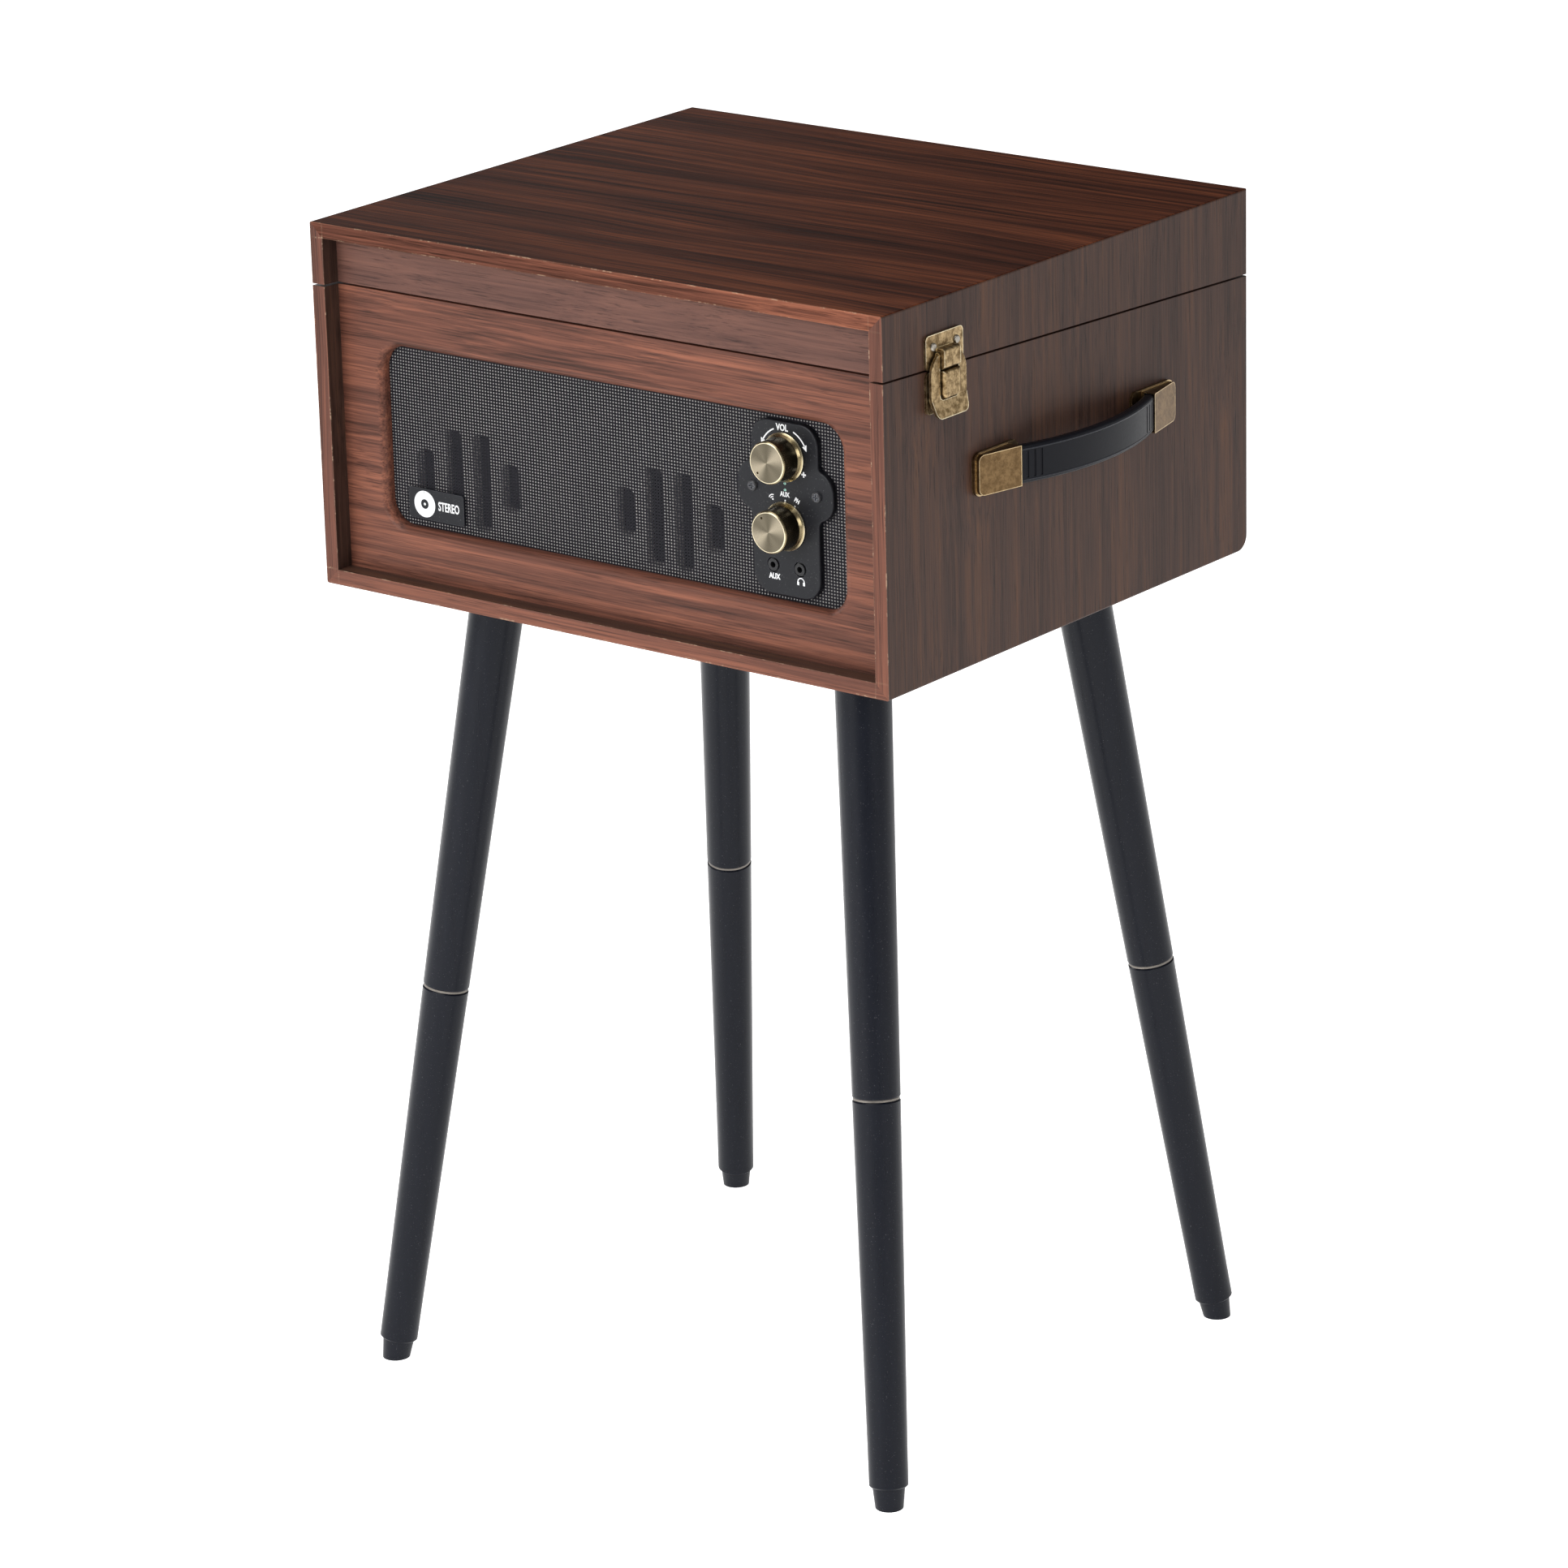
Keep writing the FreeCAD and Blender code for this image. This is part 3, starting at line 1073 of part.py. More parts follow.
def make_dc_inlet():
    """Round low-voltage inlet with a contact pin in the middle of its bore."""
    x = SOCKET_PLATE_X + INLET_X
    face = HALF_D + SOCKET_PLATE_THICKNESS
    nose = rod(INLET_RADIUS, SOCKET_PLATE_THICKNESS, V(x, HALF_D, SOCKET_Z), V(0, 1, 0))
    body = box(x - INLET_BODY / 2, x + INLET_BODY / 2, face - INLET_DEPTH - 1, HALF_D,
               SOCKET_Z - INLET_RADIUS - 1, SOCKET_Z + INLET_RADIUS + 1)
    bore = rod(INLET_BORE, INLET_DEPTH, V(x, face - INLET_DEPTH + 1, SOCKET_Z), V(0, 1, 0))
    pin = rod(INLET_PIN, INLET_DEPTH - INLET_PIN_SET, V(x, face - INLET_DEPTH, SOCKET_Z), V(0, 1, 0))
    return joined([joined([nose, body]).cut(bore), pin])


# ================================================================ legs
def leg_corners():
    return [(-1, -1), (1, -1), (1, 1), (-1, 1)]


def leg_line(corner_x, corner_y):
    """Foot point and unit direction of a leg's axis, from the floor up."""
    foot = V(corner_x * FOOT_X, corner_y * FOOT_Y, 0)
    top = V(corner_x * LEG_TOP_X, corner_y * LEG_TOP_Y, CASE_UNDERSIDE)
    direction = top - foot
    direction.normalize()
    return foot, direction


def leg_point(corner_x, corner_y, height):
    """The point of a leg's axis at a height above the floor."""
    foot, direction = leg_line(corner_x, corner_y)
    return foot + direction * (height / direction.z)


def leg_radius(height):
    """Radius of the plain taper at a height above the floor."""
    if height > LEG_JOINT_HEIGHT:
        share = (height - LEG_JOINT_HEIGHT) / (CASE_UNDERSIDE - LEG_JOINT_HEIGHT)
        return LEG_JOINT_RADIUS + (LEG_TOP_RADIUS - LEG_JOINT_RADIUS) * share
    return LEG_END_RADIUS + (LEG_JOINT_RADIUS - LEG_END_RADIUS) * height / LEG_JOINT_HEIGHT


def leg_cone(corner, low, high):
    """A length of the tapered leg between two heights, square to its own axis."""
    start = leg_point(corner[0], corner[1], low)
    direction = leg_line(corner[0], corner[1])[1]
    length = (high - low) / direction.z
    return Part.makeCone(leg_radius(low), leg_radius(high), length, start, direction)


def make_upper_leg(corner):
    ceiling = CASE_UNDERSIDE - LEG_PLATE_THICKNESS
    low = LEG_JOINT_HEIGHT + RING_THICKNESS / 2
    section = leg_cone(corner, low, CASE_UNDERSIDE)
    section = section.makeFillet(LEG_CHAMFER, rim_circles(section, leg_point(corner[0], corner[1], low)))
    section = section.cut(box(-BIG, BIG, -BIG, BIG, ceiling, BIG))
    return section.cut(leg_stud(corner, ceiling)).cut(leg_stud(corner, LEG_JOINT_HEIGHT))


def make_lower_leg(corner):
    high = LEG_JOINT_HEIGHT - RING_THICKNESS / 2
    section = leg_cone(corner, TIP_HEIGHT, high)
    for height in (TIP_HEIGHT, high):
        rim = rim_circles(section, leg_point(corner[0], corner[1], height))
        section = section.makeChamfer(LEG_CHAMFER, rim)
    return section.cut(leg_stud(corner, LEG_JOINT_HEIGHT))


def make_leg_tip(corner):
    """Stepped end that stands flat on the floor."""
    direction = leg_line(corner[0], corner[1])[1]
    start = leg_point(corner[0], corner[1], -TIP_HEIGHT)
    length = 2 * TIP_HEIGHT / direction.z
    tip = Part.makeCone(2 * TIP_END_RADIUS - TIP_TOP_RADIUS, TIP_TOP_RADIUS, length, start, direction)
    return tip.cut(box(-BIG, BIG, -BIG, BIG, -BIG, 0))


def make_joint_ring(corner):
    """Thin metal washer between the two leg sections."""
    direction = leg_line(corner[0], corner[1])[1]
    low = LEG_JOINT_HEIGHT - RING_THICKNESS / 2
    start = leg_point(corner[0], corner[1], low)
    ring = rod(RING_RADIUS, RING_THICKNESS / direction.z, start, direction)
    return ring.cut(leg_stud(corner, LEG_JOINT_HEIGHT))


def leg_stud(corner, height):
    """Stud along the leg's axis, with half of its length on each side of a height."""
    direction = leg_line(corner[0], corner[1])[1]
    middle = leg_point(corner[0], corner[1], height)
    return rod(STUD_RADIUS, 2 * STUD_HALF, middle - direction * STUD_HALF, direction)


def make_leg_studs():
    """Studs into the sockets above the leg plates and across each leg's own joint."""
    ceiling = CASE_UNDERSIDE - LEG_PLATE_THICKNESS
    studs = []
    for corner in leg_corners():
        top_stud = leg_stud(corner, ceiling).common(box(-BIG, BIG, -BIG, BIG, 0, INNER_BOTTOM - 1))
        studs.append(top_stud)
        studs.append(leg_stud(corner, LEG_JOINT_HEIGHT))
    return group(studs)


def make_leg_plate(corner):
    x = corner[0] * LEG_TOP_X
    y = corner[1] * LEG_TOP_Y
    low = CASE_UNDERSIDE - LEG_PLATE_THICKNESS
    half = LEG_PLATE / 2
    plate = box(x - half, x + half, y - half, y + half, low, CASE_UNDERSIDE)
    return rounded(plate, V(0, 0, 1), LEG_PLATE_CORNER)


# ================================================================ handle
def grip_arc(inset):
    """Circle arc of the grip's outer face, moved towards the case by an inset."""
    rise = GRIP_STAND - GRIP_END_STAND
    radius = (GRIP_END ** 2 + rise ** 2) / (2 * rise)
    centre_x = HALF_W + GRIP_STAND - radius
    end = GRIP_END + CAP_SOCKET
    own = radius - inset
    half_angle = math.asin(end / radius)
    points = [V(centre_x + own * math.cos(a), own * math.sin(a), 0) for a in (-half_angle, 0, half_angle)]
    return points


def grip_bar(growth):
    """The bowed bar, grown on every side by a clearance."""
    outer = grip_arc(-growth)
    inner = grip_arc(GRIP_THICKNESS + growth)
    low = HANDLE_Z - GRIP_HEIGHT / 2 - growth
    lift = V(0, 0, low)
    outer = [point + lift for point in outer]
    inner = [point + lift for point in inner]
    edges = [
        Part.Arc(*outer).toShape(),
        Part.makeLine(outer[2], inner[2]),
        Part.Arc(inner[2], inner[1], inner[0]).toShape(),
        Part.makeLine(inner[0], outer[0]),
    ]
    return Part.Face(Part.Wire(edges)).extrude(V(0, 0, GRIP_HEIGHT + 2 * growth))


def make_handle_grip():
    """Bowed moulded grip with rounded long edges and grooves across each end."""
    bar = grip_bar(0)
    long_edges = [edge for edge in bar.Edges if edge.Curve.TypeId == "Part::GeomCircle"]
    bar = bar.makeFillet(GRIP_EDGE, long_edges)
    cuts = []
    for sign in (-1, 1):
        for index in range(GRIP_GROOVES):
            y = sign * (GRIP_END - (index + 1) * GRIP_GROOVE_PITCH)
            x = HALF_W + GRIP_STAND - (GRIP_STAND - GRIP_END_STAND) * (y / GRIP_END) ** 2
            start = V(x, y, HANDLE_Z - GRIP_GROOVE_LENGTH / 2)
            cuts.append(rod(GRIP_GROOVE, GRIP_GROOVE_LENGTH, start, V(0, 0, 1)))
    return bar.cut(group(cuts))


def make_handle_cap(sign):
    """End cap: a foot plate against the case and a wedge that swallows the grip's end."""
    inner_y = GRIP_END
    outer_y = GRIP_END + CAP_LENGTH
    low = HANDLE_Z - CAP_HEIGHT / 2
    foot = box(HALF_W, HALF_W + CAP_FOOT, inner_y - CAP_FOOT_EXTRA, outer_y, low, low + CAP_HEIGHT)
    foot = rounded(foot, V(1, 0, 0), CAP_CORNER)
    outline = [
        V(HALF_W + CAP_FOOT / 2, inner_y, 0),
        V(HALF_W + GRIP_END_STAND + CAP_OVER, inner_y, 0),
        V(HALF_W + CAP_END_STAND, outer_y - CAP_FOOT / 2, 0),
        V(HALF_W + CAP_FOOT / 2, outer_y - CAP_FOOT / 2, 0),
    ]
    wedge = prism([point + V(0, 0, low + CAP_OVER) for point in outline], V(0, 0, CAP_HEIGHT - 2 * CAP_OVER))
    far_edges = [edge for edge in edges_along(wedge, V(1, 0, 0)) if edge.BoundBox.YMin > inner_y + 1]
    wedge = wedge.makeFillet(CAP_CORNER - CAP_FOOT / 2, far_edges)
    cap = joined([foot, wedge])
    if sign < 0:
        cap = cap.mirror(V(0, 0, 0), V(0, 1, 0))
    return cap.cut(grip_bar(CAP_CLEARANCE))


# ================================================================ latches, made on the right
def latch_box(x0, x1, half_width, z0, z1):
    return box(HALF_W + x0, HALF_W + x1, LATCH_Y - half_width, LATCH_Y + half_width, z0, z1)


def make_latch_plate():
    """Plate on the lid with a staple that holds the hasp's pin."""
    low = LATCH_SEAM + TAB_GAP / 2
    plate = latch_box(0, LATCH_PLATE, LATCH_WIDTH / 2, low, LATCH_SEAM + LATCH_UPPER)
    plate = rounded(plate, V(1, 0, 0), LATCH_CORNER)
    staple = latch_box(LATCH_PLATE / 2, TAB_STAND, TAB_WIDTH / 2, low, LATCH_SEAM + TAB_UPPER)
    upper = [edge for edge in edges_along(staple, V(0, 1, 0)) if edge.BoundBox.XMin > HALF_W + TAB_STAND - 1]
    staple = staple.makeFillet(STAPLE_ROUND, upper)
    bore_start = V(HASP_PIN_X, LATCH_Y - LATCH_WIDTH / 2, HASP_PIN_Z)
    pin_bore = rod(HASP_PIN_RADIUS + RUNNING_FIT, LATCH_WIDTH, bore_start, V(0, 1, 0))
    return joined([plate, staple]).cut(pin_bore)


def make_latch_keeper():
    """Plate on the case with the block that the hasp closes over."""
    high = LATCH_SEAM - TAB_GAP / 2
    plate = latch_box(0, LATCH_PLATE, LATCH_WIDTH / 2, LATCH_SEAM - LATCH_LOWER, high)
    plate = rounded(plate, V(1, 0, 0), LATCH_CORNER)
    block = latch_box(LATCH_PLATE / 2, TAB_STAND, TAB_WIDTH / 2, LATCH_SEAM - TAB_LOWER, high)
    lower_z = LATCH_SEAM - TAB_LOWER
    lower = [edge for edge in edges_along(block, V(1, 0, 0)) if edge.BoundBox.ZMax < lower_z + 1]
    block = block.makeFillet(TAB_ROUND, lower)
    block = block.makeFillet(TAB_FACE_ROUND, edges_at(block, "x", HALF_W + TAB_STAND))
    return joined([plate, block])


def hasp_profile():
    """The hasp seen from the front of the case: a strip whose foot leans out for a finger."""
    inside = HASP_PIN_X - HASP_THICKNESS / 2
    outside = inside + HASP_THICKNESS
    top = HASP_PIN_Z + HASP_PIN_RADIUS
    foot = HASP_PIN_Z - HASP_LENGTH
    kick = foot + HASP_KICK
    outline = [
        V(inside, LATCH_Y - HASP_WIDTH, top),
        V(outside, LATCH_Y - HASP_WIDTH, top),
        V(outside, LATCH_Y - HASP_WIDTH, kick),
        V(outside + HASP_KICK_STAND, LATCH_Y - HASP_WIDTH, foot),
        V(inside + HASP_KICK_STAND, LATCH_Y - HASP_WIDTH, foot),
        V(inside, LATCH_Y - HASP_WIDTH, kick),
    ]
    return prism(outline, V(0, 2 * HASP_WIDTH, 0))


def hasp_face():
    """The hasp seen from the side of the case: rounded shoulders above, a rounded foot below."""
    half = HASP_WIDTH / 2
    foot_half = HASP_FOOT_WIDTH / 2
    top = HASP_PIN_Z + HASP_PIN_RADIUS
    foot = HASP_PIN_Z - HASP_LENGTH
    waist = foot + HASP_KICK + HASP_WAIST
    outline = [
        V(HALF_W, LATCH_Y - half, top),
        V(HALF_W, LATCH_Y + half, top),
        V(HALF_W, LATCH_Y + half, waist),
        V(HALF_W, LATCH_Y + foot_half, foot),
        V(HALF_W, LATCH_Y - foot_half, foot),
        V(HALF_W, LATCH_Y - half, waist),
    ]
    block = prism(outline, V(HASP_REACH, 0, 0))
    shoulders = [edge for edge in edges_along(block, V(1, 0, 0)) if edge.BoundBox.ZMin > HASP_PIN_Z]
    block = block.makeFillet(HASP_TOP_ROUND, shoulders)
    toes = [edge for edge in edges_along(block, V(1, 0, 0)) if edge.BoundBox.ZMax < foot + 1]
    return block.makeFillet(HASP_FOOT_ROUND, toes)


def make_hasp():
    """Frame on a pin: it swings down over the keeper, and its foot stands out for a finger."""
    opening_low = LATCH_SEAM - TAB_LOWER - TAB_GAP
    opening = latch_box(-1, HASP_REACH, HASP_OPENING / 2, opening_low, HASP_PIN_Z + 2 * HASP_PIN_RADIUS)
    lower = [edge for edge in edges_along(opening, V(1, 0, 0)) if edge.BoundBox.ZMax < LATCH_SEAM]
    frame = hasp_profile().common(hasp_face()).cut(opening.makeFillet(TAB_ROUND, lower))
    outer = [edge for edge in edges_at(frame, "x", HASP_PIN_X + HASP_THICKNESS / 2)
             if abs(edge.CenterOfMass.y - LATCH_Y) > HASP_OPENING / 2 + 1]
    frame = frame.makeFillet(HASP_EDGE, outer)
    pin_start = V(HASP_PIN_X, LATCH_Y - HASP_OPENING / 2 - 1, HASP_PIN_Z)
    pin = rod(HASP_PIN_RADIUS, HASP_OPENING + 2, pin_start, V(0, 1, 0))
    return joined([frame, pin])


def rivet(x, y, z):
    """Domed screw with a plain head and a short shank into the board."""
    face = V(HALF_W + x, y, z)
    head = rod(RIVET_RADIUS, RIVET_PROUD, face, V(1, 0, 0))
    head = head.makeFillet(RIVET_ROUND, edges_at(head, "x", HALF_W + x + RIVET_PROUD))
    shank = rod(RIVET_SHANK, SCREW_LENGTH, face - V(SCREW_LENGTH, 0, 0), V(1, 0, 0))
    return joined([head, shank])


def latch_rivets(z):
    return [rivet(LATCH_PLATE, LATCH_Y + sign * RIVET_OFFSET, z) for sign in (-1, 1)]


# ================================================================ hinges
def knuckle_spans(on_lid):
    """Where a leaf's knuckles lie along its width: the lid has the middle third, the case the others."""
    half = HINGE_WIDTH / 2
    sixth = HINGE_WIDTH / 6
    gap = HINGE_KNUCKLE_GAP
    if on_lid:
        return [(-sixth + gap, sixth - gap)]
    return [(-half, -sixth - gap), (sixth + gap, half)]


def knuckle_reliefs(on_lid):
    """Where a leaf is cut away round the other leaf's knuckles."""
    sixth = HINGE_WIDTH / 6
    gap = HINGE_KNUCKLE_GAP / 2
    if on_lid:
        return [(-HINGE_WIDTH, -sixth + gap), (sixth - gap, HINGE_WIDTH)]
    return [(-sixth - gap, sixth + gap)]


def hinge_leaf(x, on_lid):
    """One leaf on the back of the case, with its share of the knuckles."""
    toward = 1 if on_lid else -1
    z0, z1 = sorted((HINGE_Z + toward * SEAM_GAP / 2, HINGE_Z + toward * HINGE_LEAF_HEIGHT))
    parts = [box(x - HINGE_WIDTH / 2, x + HINGE_WIDTH / 2, HALF_D, HALF_D + HINGE_LEAF, z0, z1)]
    for start, end in knuckle_spans(on_lid):
        parts.append(rod(HINGE_BARREL, end - start, V(x + start, HINGE_Y, HINGE_Z), V(1, 0, 0)))
    pin_start = V(x - HINGE_WIDTH, HINGE_Y, HINGE_Z)
    body = joined(parts).cut(rod(HINGE_PIN + RUNNING_FIT, 2 * HINGE_WIDTH, pin_start, V(1, 0, 0)))
    for start, end in knuckle_reliefs(on_lid):
        relief = rod(HINGE_BARREL + HINGE_RELIEF, end - start, V(x + start, HINGE_Y, HINGE_Z), V(1, 0, 0))
        body = body.cut(relief)
    return body


def hinge_pin(x):
    return rod(HINGE_PIN, HINGE_WIDTH, V(x - HINGE_WIDTH / 2, HINGE_Y, HINGE_Z), V(1, 0, 0))


def hinge_screws(on_lid):
    """Two domed screws in each leaf."""
    toward = 1 if on_lid else -1
    z = HINGE_Z + toward * HINGE_SCREW_LIFT
    screws = []
    for x in (-HINGE_X, HINGE_X):
        for sign in (-1, 1):
            face = V(x + sign * HINGE_WIDTH / 3, HALF_D + HINGE_LEAF, z)
            head = rod(RIVET_RADIUS, RIVET_PROUD, face, V(0, 1, 0))
            head = head.makeFillet(RIVET_ROUND, edges_at(head, "y", HALF_D + HINGE_LEAF + RIVET_PROUD))
            shank = rod(RIVET_SHANK, SCREW_LENGTH, face - V(0, SCREW_LENGTH, 0), V(0, 1, 0))
            screws.append(joined([head, shank]))
    return screws


def make_brass_screws(on_lid):
    """The latch and hinge screws of the lid or of the case."""
    z = LATCH_SEAM + (RIVET_LIFT if on_lid else -RIVET_DROP)
    right = latch_rivets(z)
    return group(right + [mirrored_x(item) for item in right] + hinge_screws(on_lid))


# ================================================================ the whole machine
def make_nodes():
    """Every node's shape, by name, about the middle of the case."""
    screws = make_panel_screws()
    case_screws = make_brass_screws(False)
    lid_screws = make_brass_screws(True)
    nodes = make_boards()
    nodes["front_panel"] = make_front_panel()
    nodes["grille_cloth"] = make_grille_cloth()
    nodes["speaker_baffle"] = make_baffle()
    nodes["speaker_frames"] = group([make_driver_frame(x) for x in SPEAKER_CENTRES])
    nodes["speaker_cones"] = group([make_driver_cone(x) for x in SPEAKER_CENTRES])
    nodes["control_plate"] = make_control_plate()
    nodes["front_jacks"] = group([make_front_jack(x) for x in jack_places()])
    nodes["badge_plate"] = make_badge()
    nodes["control_bodies"] = group([make_pot(VOLUME_Z), make_pot(SELECTOR_Z)])
    nodes["volume_knob"] = make_knob(VOLUME_Z, VOLUME_POINTER_DEG)
    nodes["volume_shaft"] = make_shaft(VOLUME_Z)
    nodes["selector_knob"] = make_knob(SELECTOR_Z, SELECTOR_POINTER_DEG)
    nodes["selector_shaft"] = make_shaft(SELECTOR_Z)
    nodes["amplifier_board"] = make_amplifier_board()
    nodes["rear_socket_plate"] = make_socket_plate()
    nodes["phono_sockets"] = group([make_phono_socket(x) for x in phono_places()])
    nodes["dc_inlet"] = make_dc_inlet()
    nodes["deck_plate"] = make_deck_plate()
    nodes["deck_rails"] = group([make_deck_rail(-1), make_deck_rail(1)])
    nodes["bearing_housing"] = make_bearing_housing()
    nodes["motor"] = make_motor()
    nodes["motor_pulley"] = make_motor_pulley()
    nodes["drive_belt"] = make_drive_belt()
    nodes["platter"] = make_platter()
    nodes["slipmat"] = make_slipmat()
    nodes["spindle"] = make_spindle()
    nodes["tonearm_base"] = make_tonearm_base()
    nodes["tonearm_yoke"] = make_tonearm_yoke()
    nodes["tonearm_tube"] = make_tonearm_tube()
    nodes["tonearm_head"] = make_tonearm_head()
    nodes["tonearm_rest"] = make_tonearm_rest()
    nodes["cue_lever"] = make_cue_lever()
    nodes["speed_switch"] = make_speed_switch()
    nodes["leg_plates"] = group([make_leg_plate(corner) for corner in leg_corners()])
    nodes["leg_studs"] = make_leg_studs()
    nodes["leg_joint_rings"] = group([make_joint_ring(corner) for corner in leg_corners()])
    nodes["leg_upper_sections"] = group([make_upper_leg(corner) for corner in leg_corners()])
    nodes["leg_lower_sections"] = group([make_lower_leg(corner) for corner in leg_corners()])
    nodes["leg_tips"] = group([make_leg_tip(corner) for corner in leg_corners()])
    nodes["handle_grip"] = make_handle_grip()
    nodes["handle_caps"] = group([make_handle_cap(-1), make_handle_cap(1)])
    nodes["latch_keepers"] = group([make_latch_keeper(), mirrored_x(make_latch_keeper())])
    nodes["latch_plates"] = group([make_latch_plate(), mirrored_x(make_latch_plate())])
    nodes["latch_hasp_right"] = make_hasp()
    nodes["latch_hasp_left"] = mirrored_x(make_hasp())
    nodes["hinge_case_leaves"] = group([hinge_leaf(x, False) for x in (-HINGE_X, HINGE_X)])
    nodes["hinge_lid_leaves"] = group([hinge_leaf(x, True) for x in (-HINGE_X, HINGE_X)])
    nodes["hinge_pins"] = group([hinge_pin(x) for x in (-HINGE_X, HINGE_X)])
    nodes["panel_screws"] = screws
    nodes["brass_screws_case"] = case_screws
    nodes["brass_screws_lid"] = lid_screws
    drill(nodes, screws, ["control_plate", "grille_cloth", "speaker_baffle", "speaker_frames",
                          "bottom_panel", "leg_plates", "leg_upper_sections", "deck_plate", "deck_rails",
                          "rear_socket_plate", "back_panel"])
    drill(nodes, case_screws, ["latch_keepers", "hinge_case_leaves", "back_panel",
                               "right_side_panel", "left_side_panel"])
    drill(nodes, lid_screws, ["latch_plates", "hinge_lid_leaves", "lid_back",
                              "lid_right_side", "lid_left_side"])
    drill(nodes, nodes["leg_studs"], ["leg_plates", "bottom_panel"])
    return nodes


def drill(nodes, fasteners, names):
    """Take the fasteners' room out of each named node."""
    for name in names:
        nodes[name] = nodes[name].cut(fasteners)


def overall_box(nodes):
    """The box round every node."""
    whole = FreeCAD.BoundBox()
    for shape in nodes.values():
        whole.add(shape.optimalBoundingBox(False))
    return whole


def main():
    os.makedirs("parts", exist_ok=True)
    nodes = make_nodes()
    whole = overall_box(nodes)
    to_origin = V(-whole.Center.x, -whole.Center.y, -whole.ZMin)
    for name, shape in nodes.items():
        shape.translated(to_origin).exportStep("parts/" + name + ".step")
    return nodes, to_origin


NODES, TO_ORIGIN = main()
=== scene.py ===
# %% [markdown]
# # A suitcase record player on four legs
#
# The machine is a wooden case wrapped in printed walnut vinyl, with a hinged lid, a grille with two small
# loudspeakers behind cloth, a control plate, brass fittings and black legs.  Its exact shapes come from a
# CAD model, which is loaded here as a fixed frame.  This lesson gives every piece its finish and adds the
# pieces that are too fine for the CAD: the woven cloth, the printed labels and the small status lights.

import json
import math

import bmesh
import bpy
from mathutils import Matrix, Vector

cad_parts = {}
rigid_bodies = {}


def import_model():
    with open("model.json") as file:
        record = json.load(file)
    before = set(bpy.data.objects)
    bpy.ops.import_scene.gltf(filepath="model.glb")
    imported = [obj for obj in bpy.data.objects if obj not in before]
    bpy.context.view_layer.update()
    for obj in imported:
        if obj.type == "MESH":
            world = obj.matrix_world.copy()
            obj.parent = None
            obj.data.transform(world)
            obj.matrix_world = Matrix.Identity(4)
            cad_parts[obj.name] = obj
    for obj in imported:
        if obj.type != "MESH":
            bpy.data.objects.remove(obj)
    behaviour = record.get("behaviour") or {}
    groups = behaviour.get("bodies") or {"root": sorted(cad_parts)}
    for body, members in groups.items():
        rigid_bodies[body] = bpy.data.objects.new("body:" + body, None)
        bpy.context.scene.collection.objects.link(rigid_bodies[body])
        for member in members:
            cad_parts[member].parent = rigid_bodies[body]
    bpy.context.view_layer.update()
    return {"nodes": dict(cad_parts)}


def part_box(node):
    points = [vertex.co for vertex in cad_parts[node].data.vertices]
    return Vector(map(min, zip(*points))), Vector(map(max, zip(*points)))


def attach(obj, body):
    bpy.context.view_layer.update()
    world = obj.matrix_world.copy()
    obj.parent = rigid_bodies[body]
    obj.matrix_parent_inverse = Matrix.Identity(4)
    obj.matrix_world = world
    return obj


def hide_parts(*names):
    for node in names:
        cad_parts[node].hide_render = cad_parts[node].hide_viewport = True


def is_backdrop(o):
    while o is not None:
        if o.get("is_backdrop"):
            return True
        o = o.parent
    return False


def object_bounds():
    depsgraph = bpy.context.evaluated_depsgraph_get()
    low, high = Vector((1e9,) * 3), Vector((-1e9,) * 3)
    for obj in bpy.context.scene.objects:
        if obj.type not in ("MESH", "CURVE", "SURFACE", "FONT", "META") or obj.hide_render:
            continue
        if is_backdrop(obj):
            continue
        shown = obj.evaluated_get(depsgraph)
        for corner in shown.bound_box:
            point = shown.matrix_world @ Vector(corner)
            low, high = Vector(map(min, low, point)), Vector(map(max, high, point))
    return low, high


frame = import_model()
MM = 0.001
CABINET = "cabinet"
nodes = frame["nodes"]

# %% [markdown]
# The finishes need to know where the case is.  Each CAD node keeps its place in its mesh, so the lowest and
# highest corners of a few nodes give every position that is used below, and nothing has to be typed twice.

# %% Measure the case
case_left, case_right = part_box("left_side_panel"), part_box("right_side_panel")
OUTER_LEFT = case_left[0].x
INNER_RIGHT, OUTER_RIGHT = case_right[0].x, case_right[1].x
FRONT = case_right[0].y
BACK = case_right[1].y
UNDERSIDE = case_right[0].z
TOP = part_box("lid_top")[1].z
BOARD = OUTER_RIGHT - INNER_RIGHT
MIDDLE_X = (OUTER_LEFT + OUTER_RIGHT) / 2
INNER_FLOOR = UNDERSIDE + BOARD
INNER_CEILING = TOP - BOARD
case_size = (OUTER_RIGHT - OUTER_LEFT, BACK - FRONT, TOP - UNDERSIDE)
print("case:", " x ".join(str(round(length, 4)) for length in case_size))

# %% [markdown]
# ## Writing shader maths as Python
#
# A finish is a tree of nodes.  Dozens of Math nodes are hard to read, so one small class wraps an output
# socket and lets it be used in ordinary expressions: adding two wires adds a Math node.  A second class is
# the tree itself, and its method `node` makes any node: its type, its settings, then its inputs.

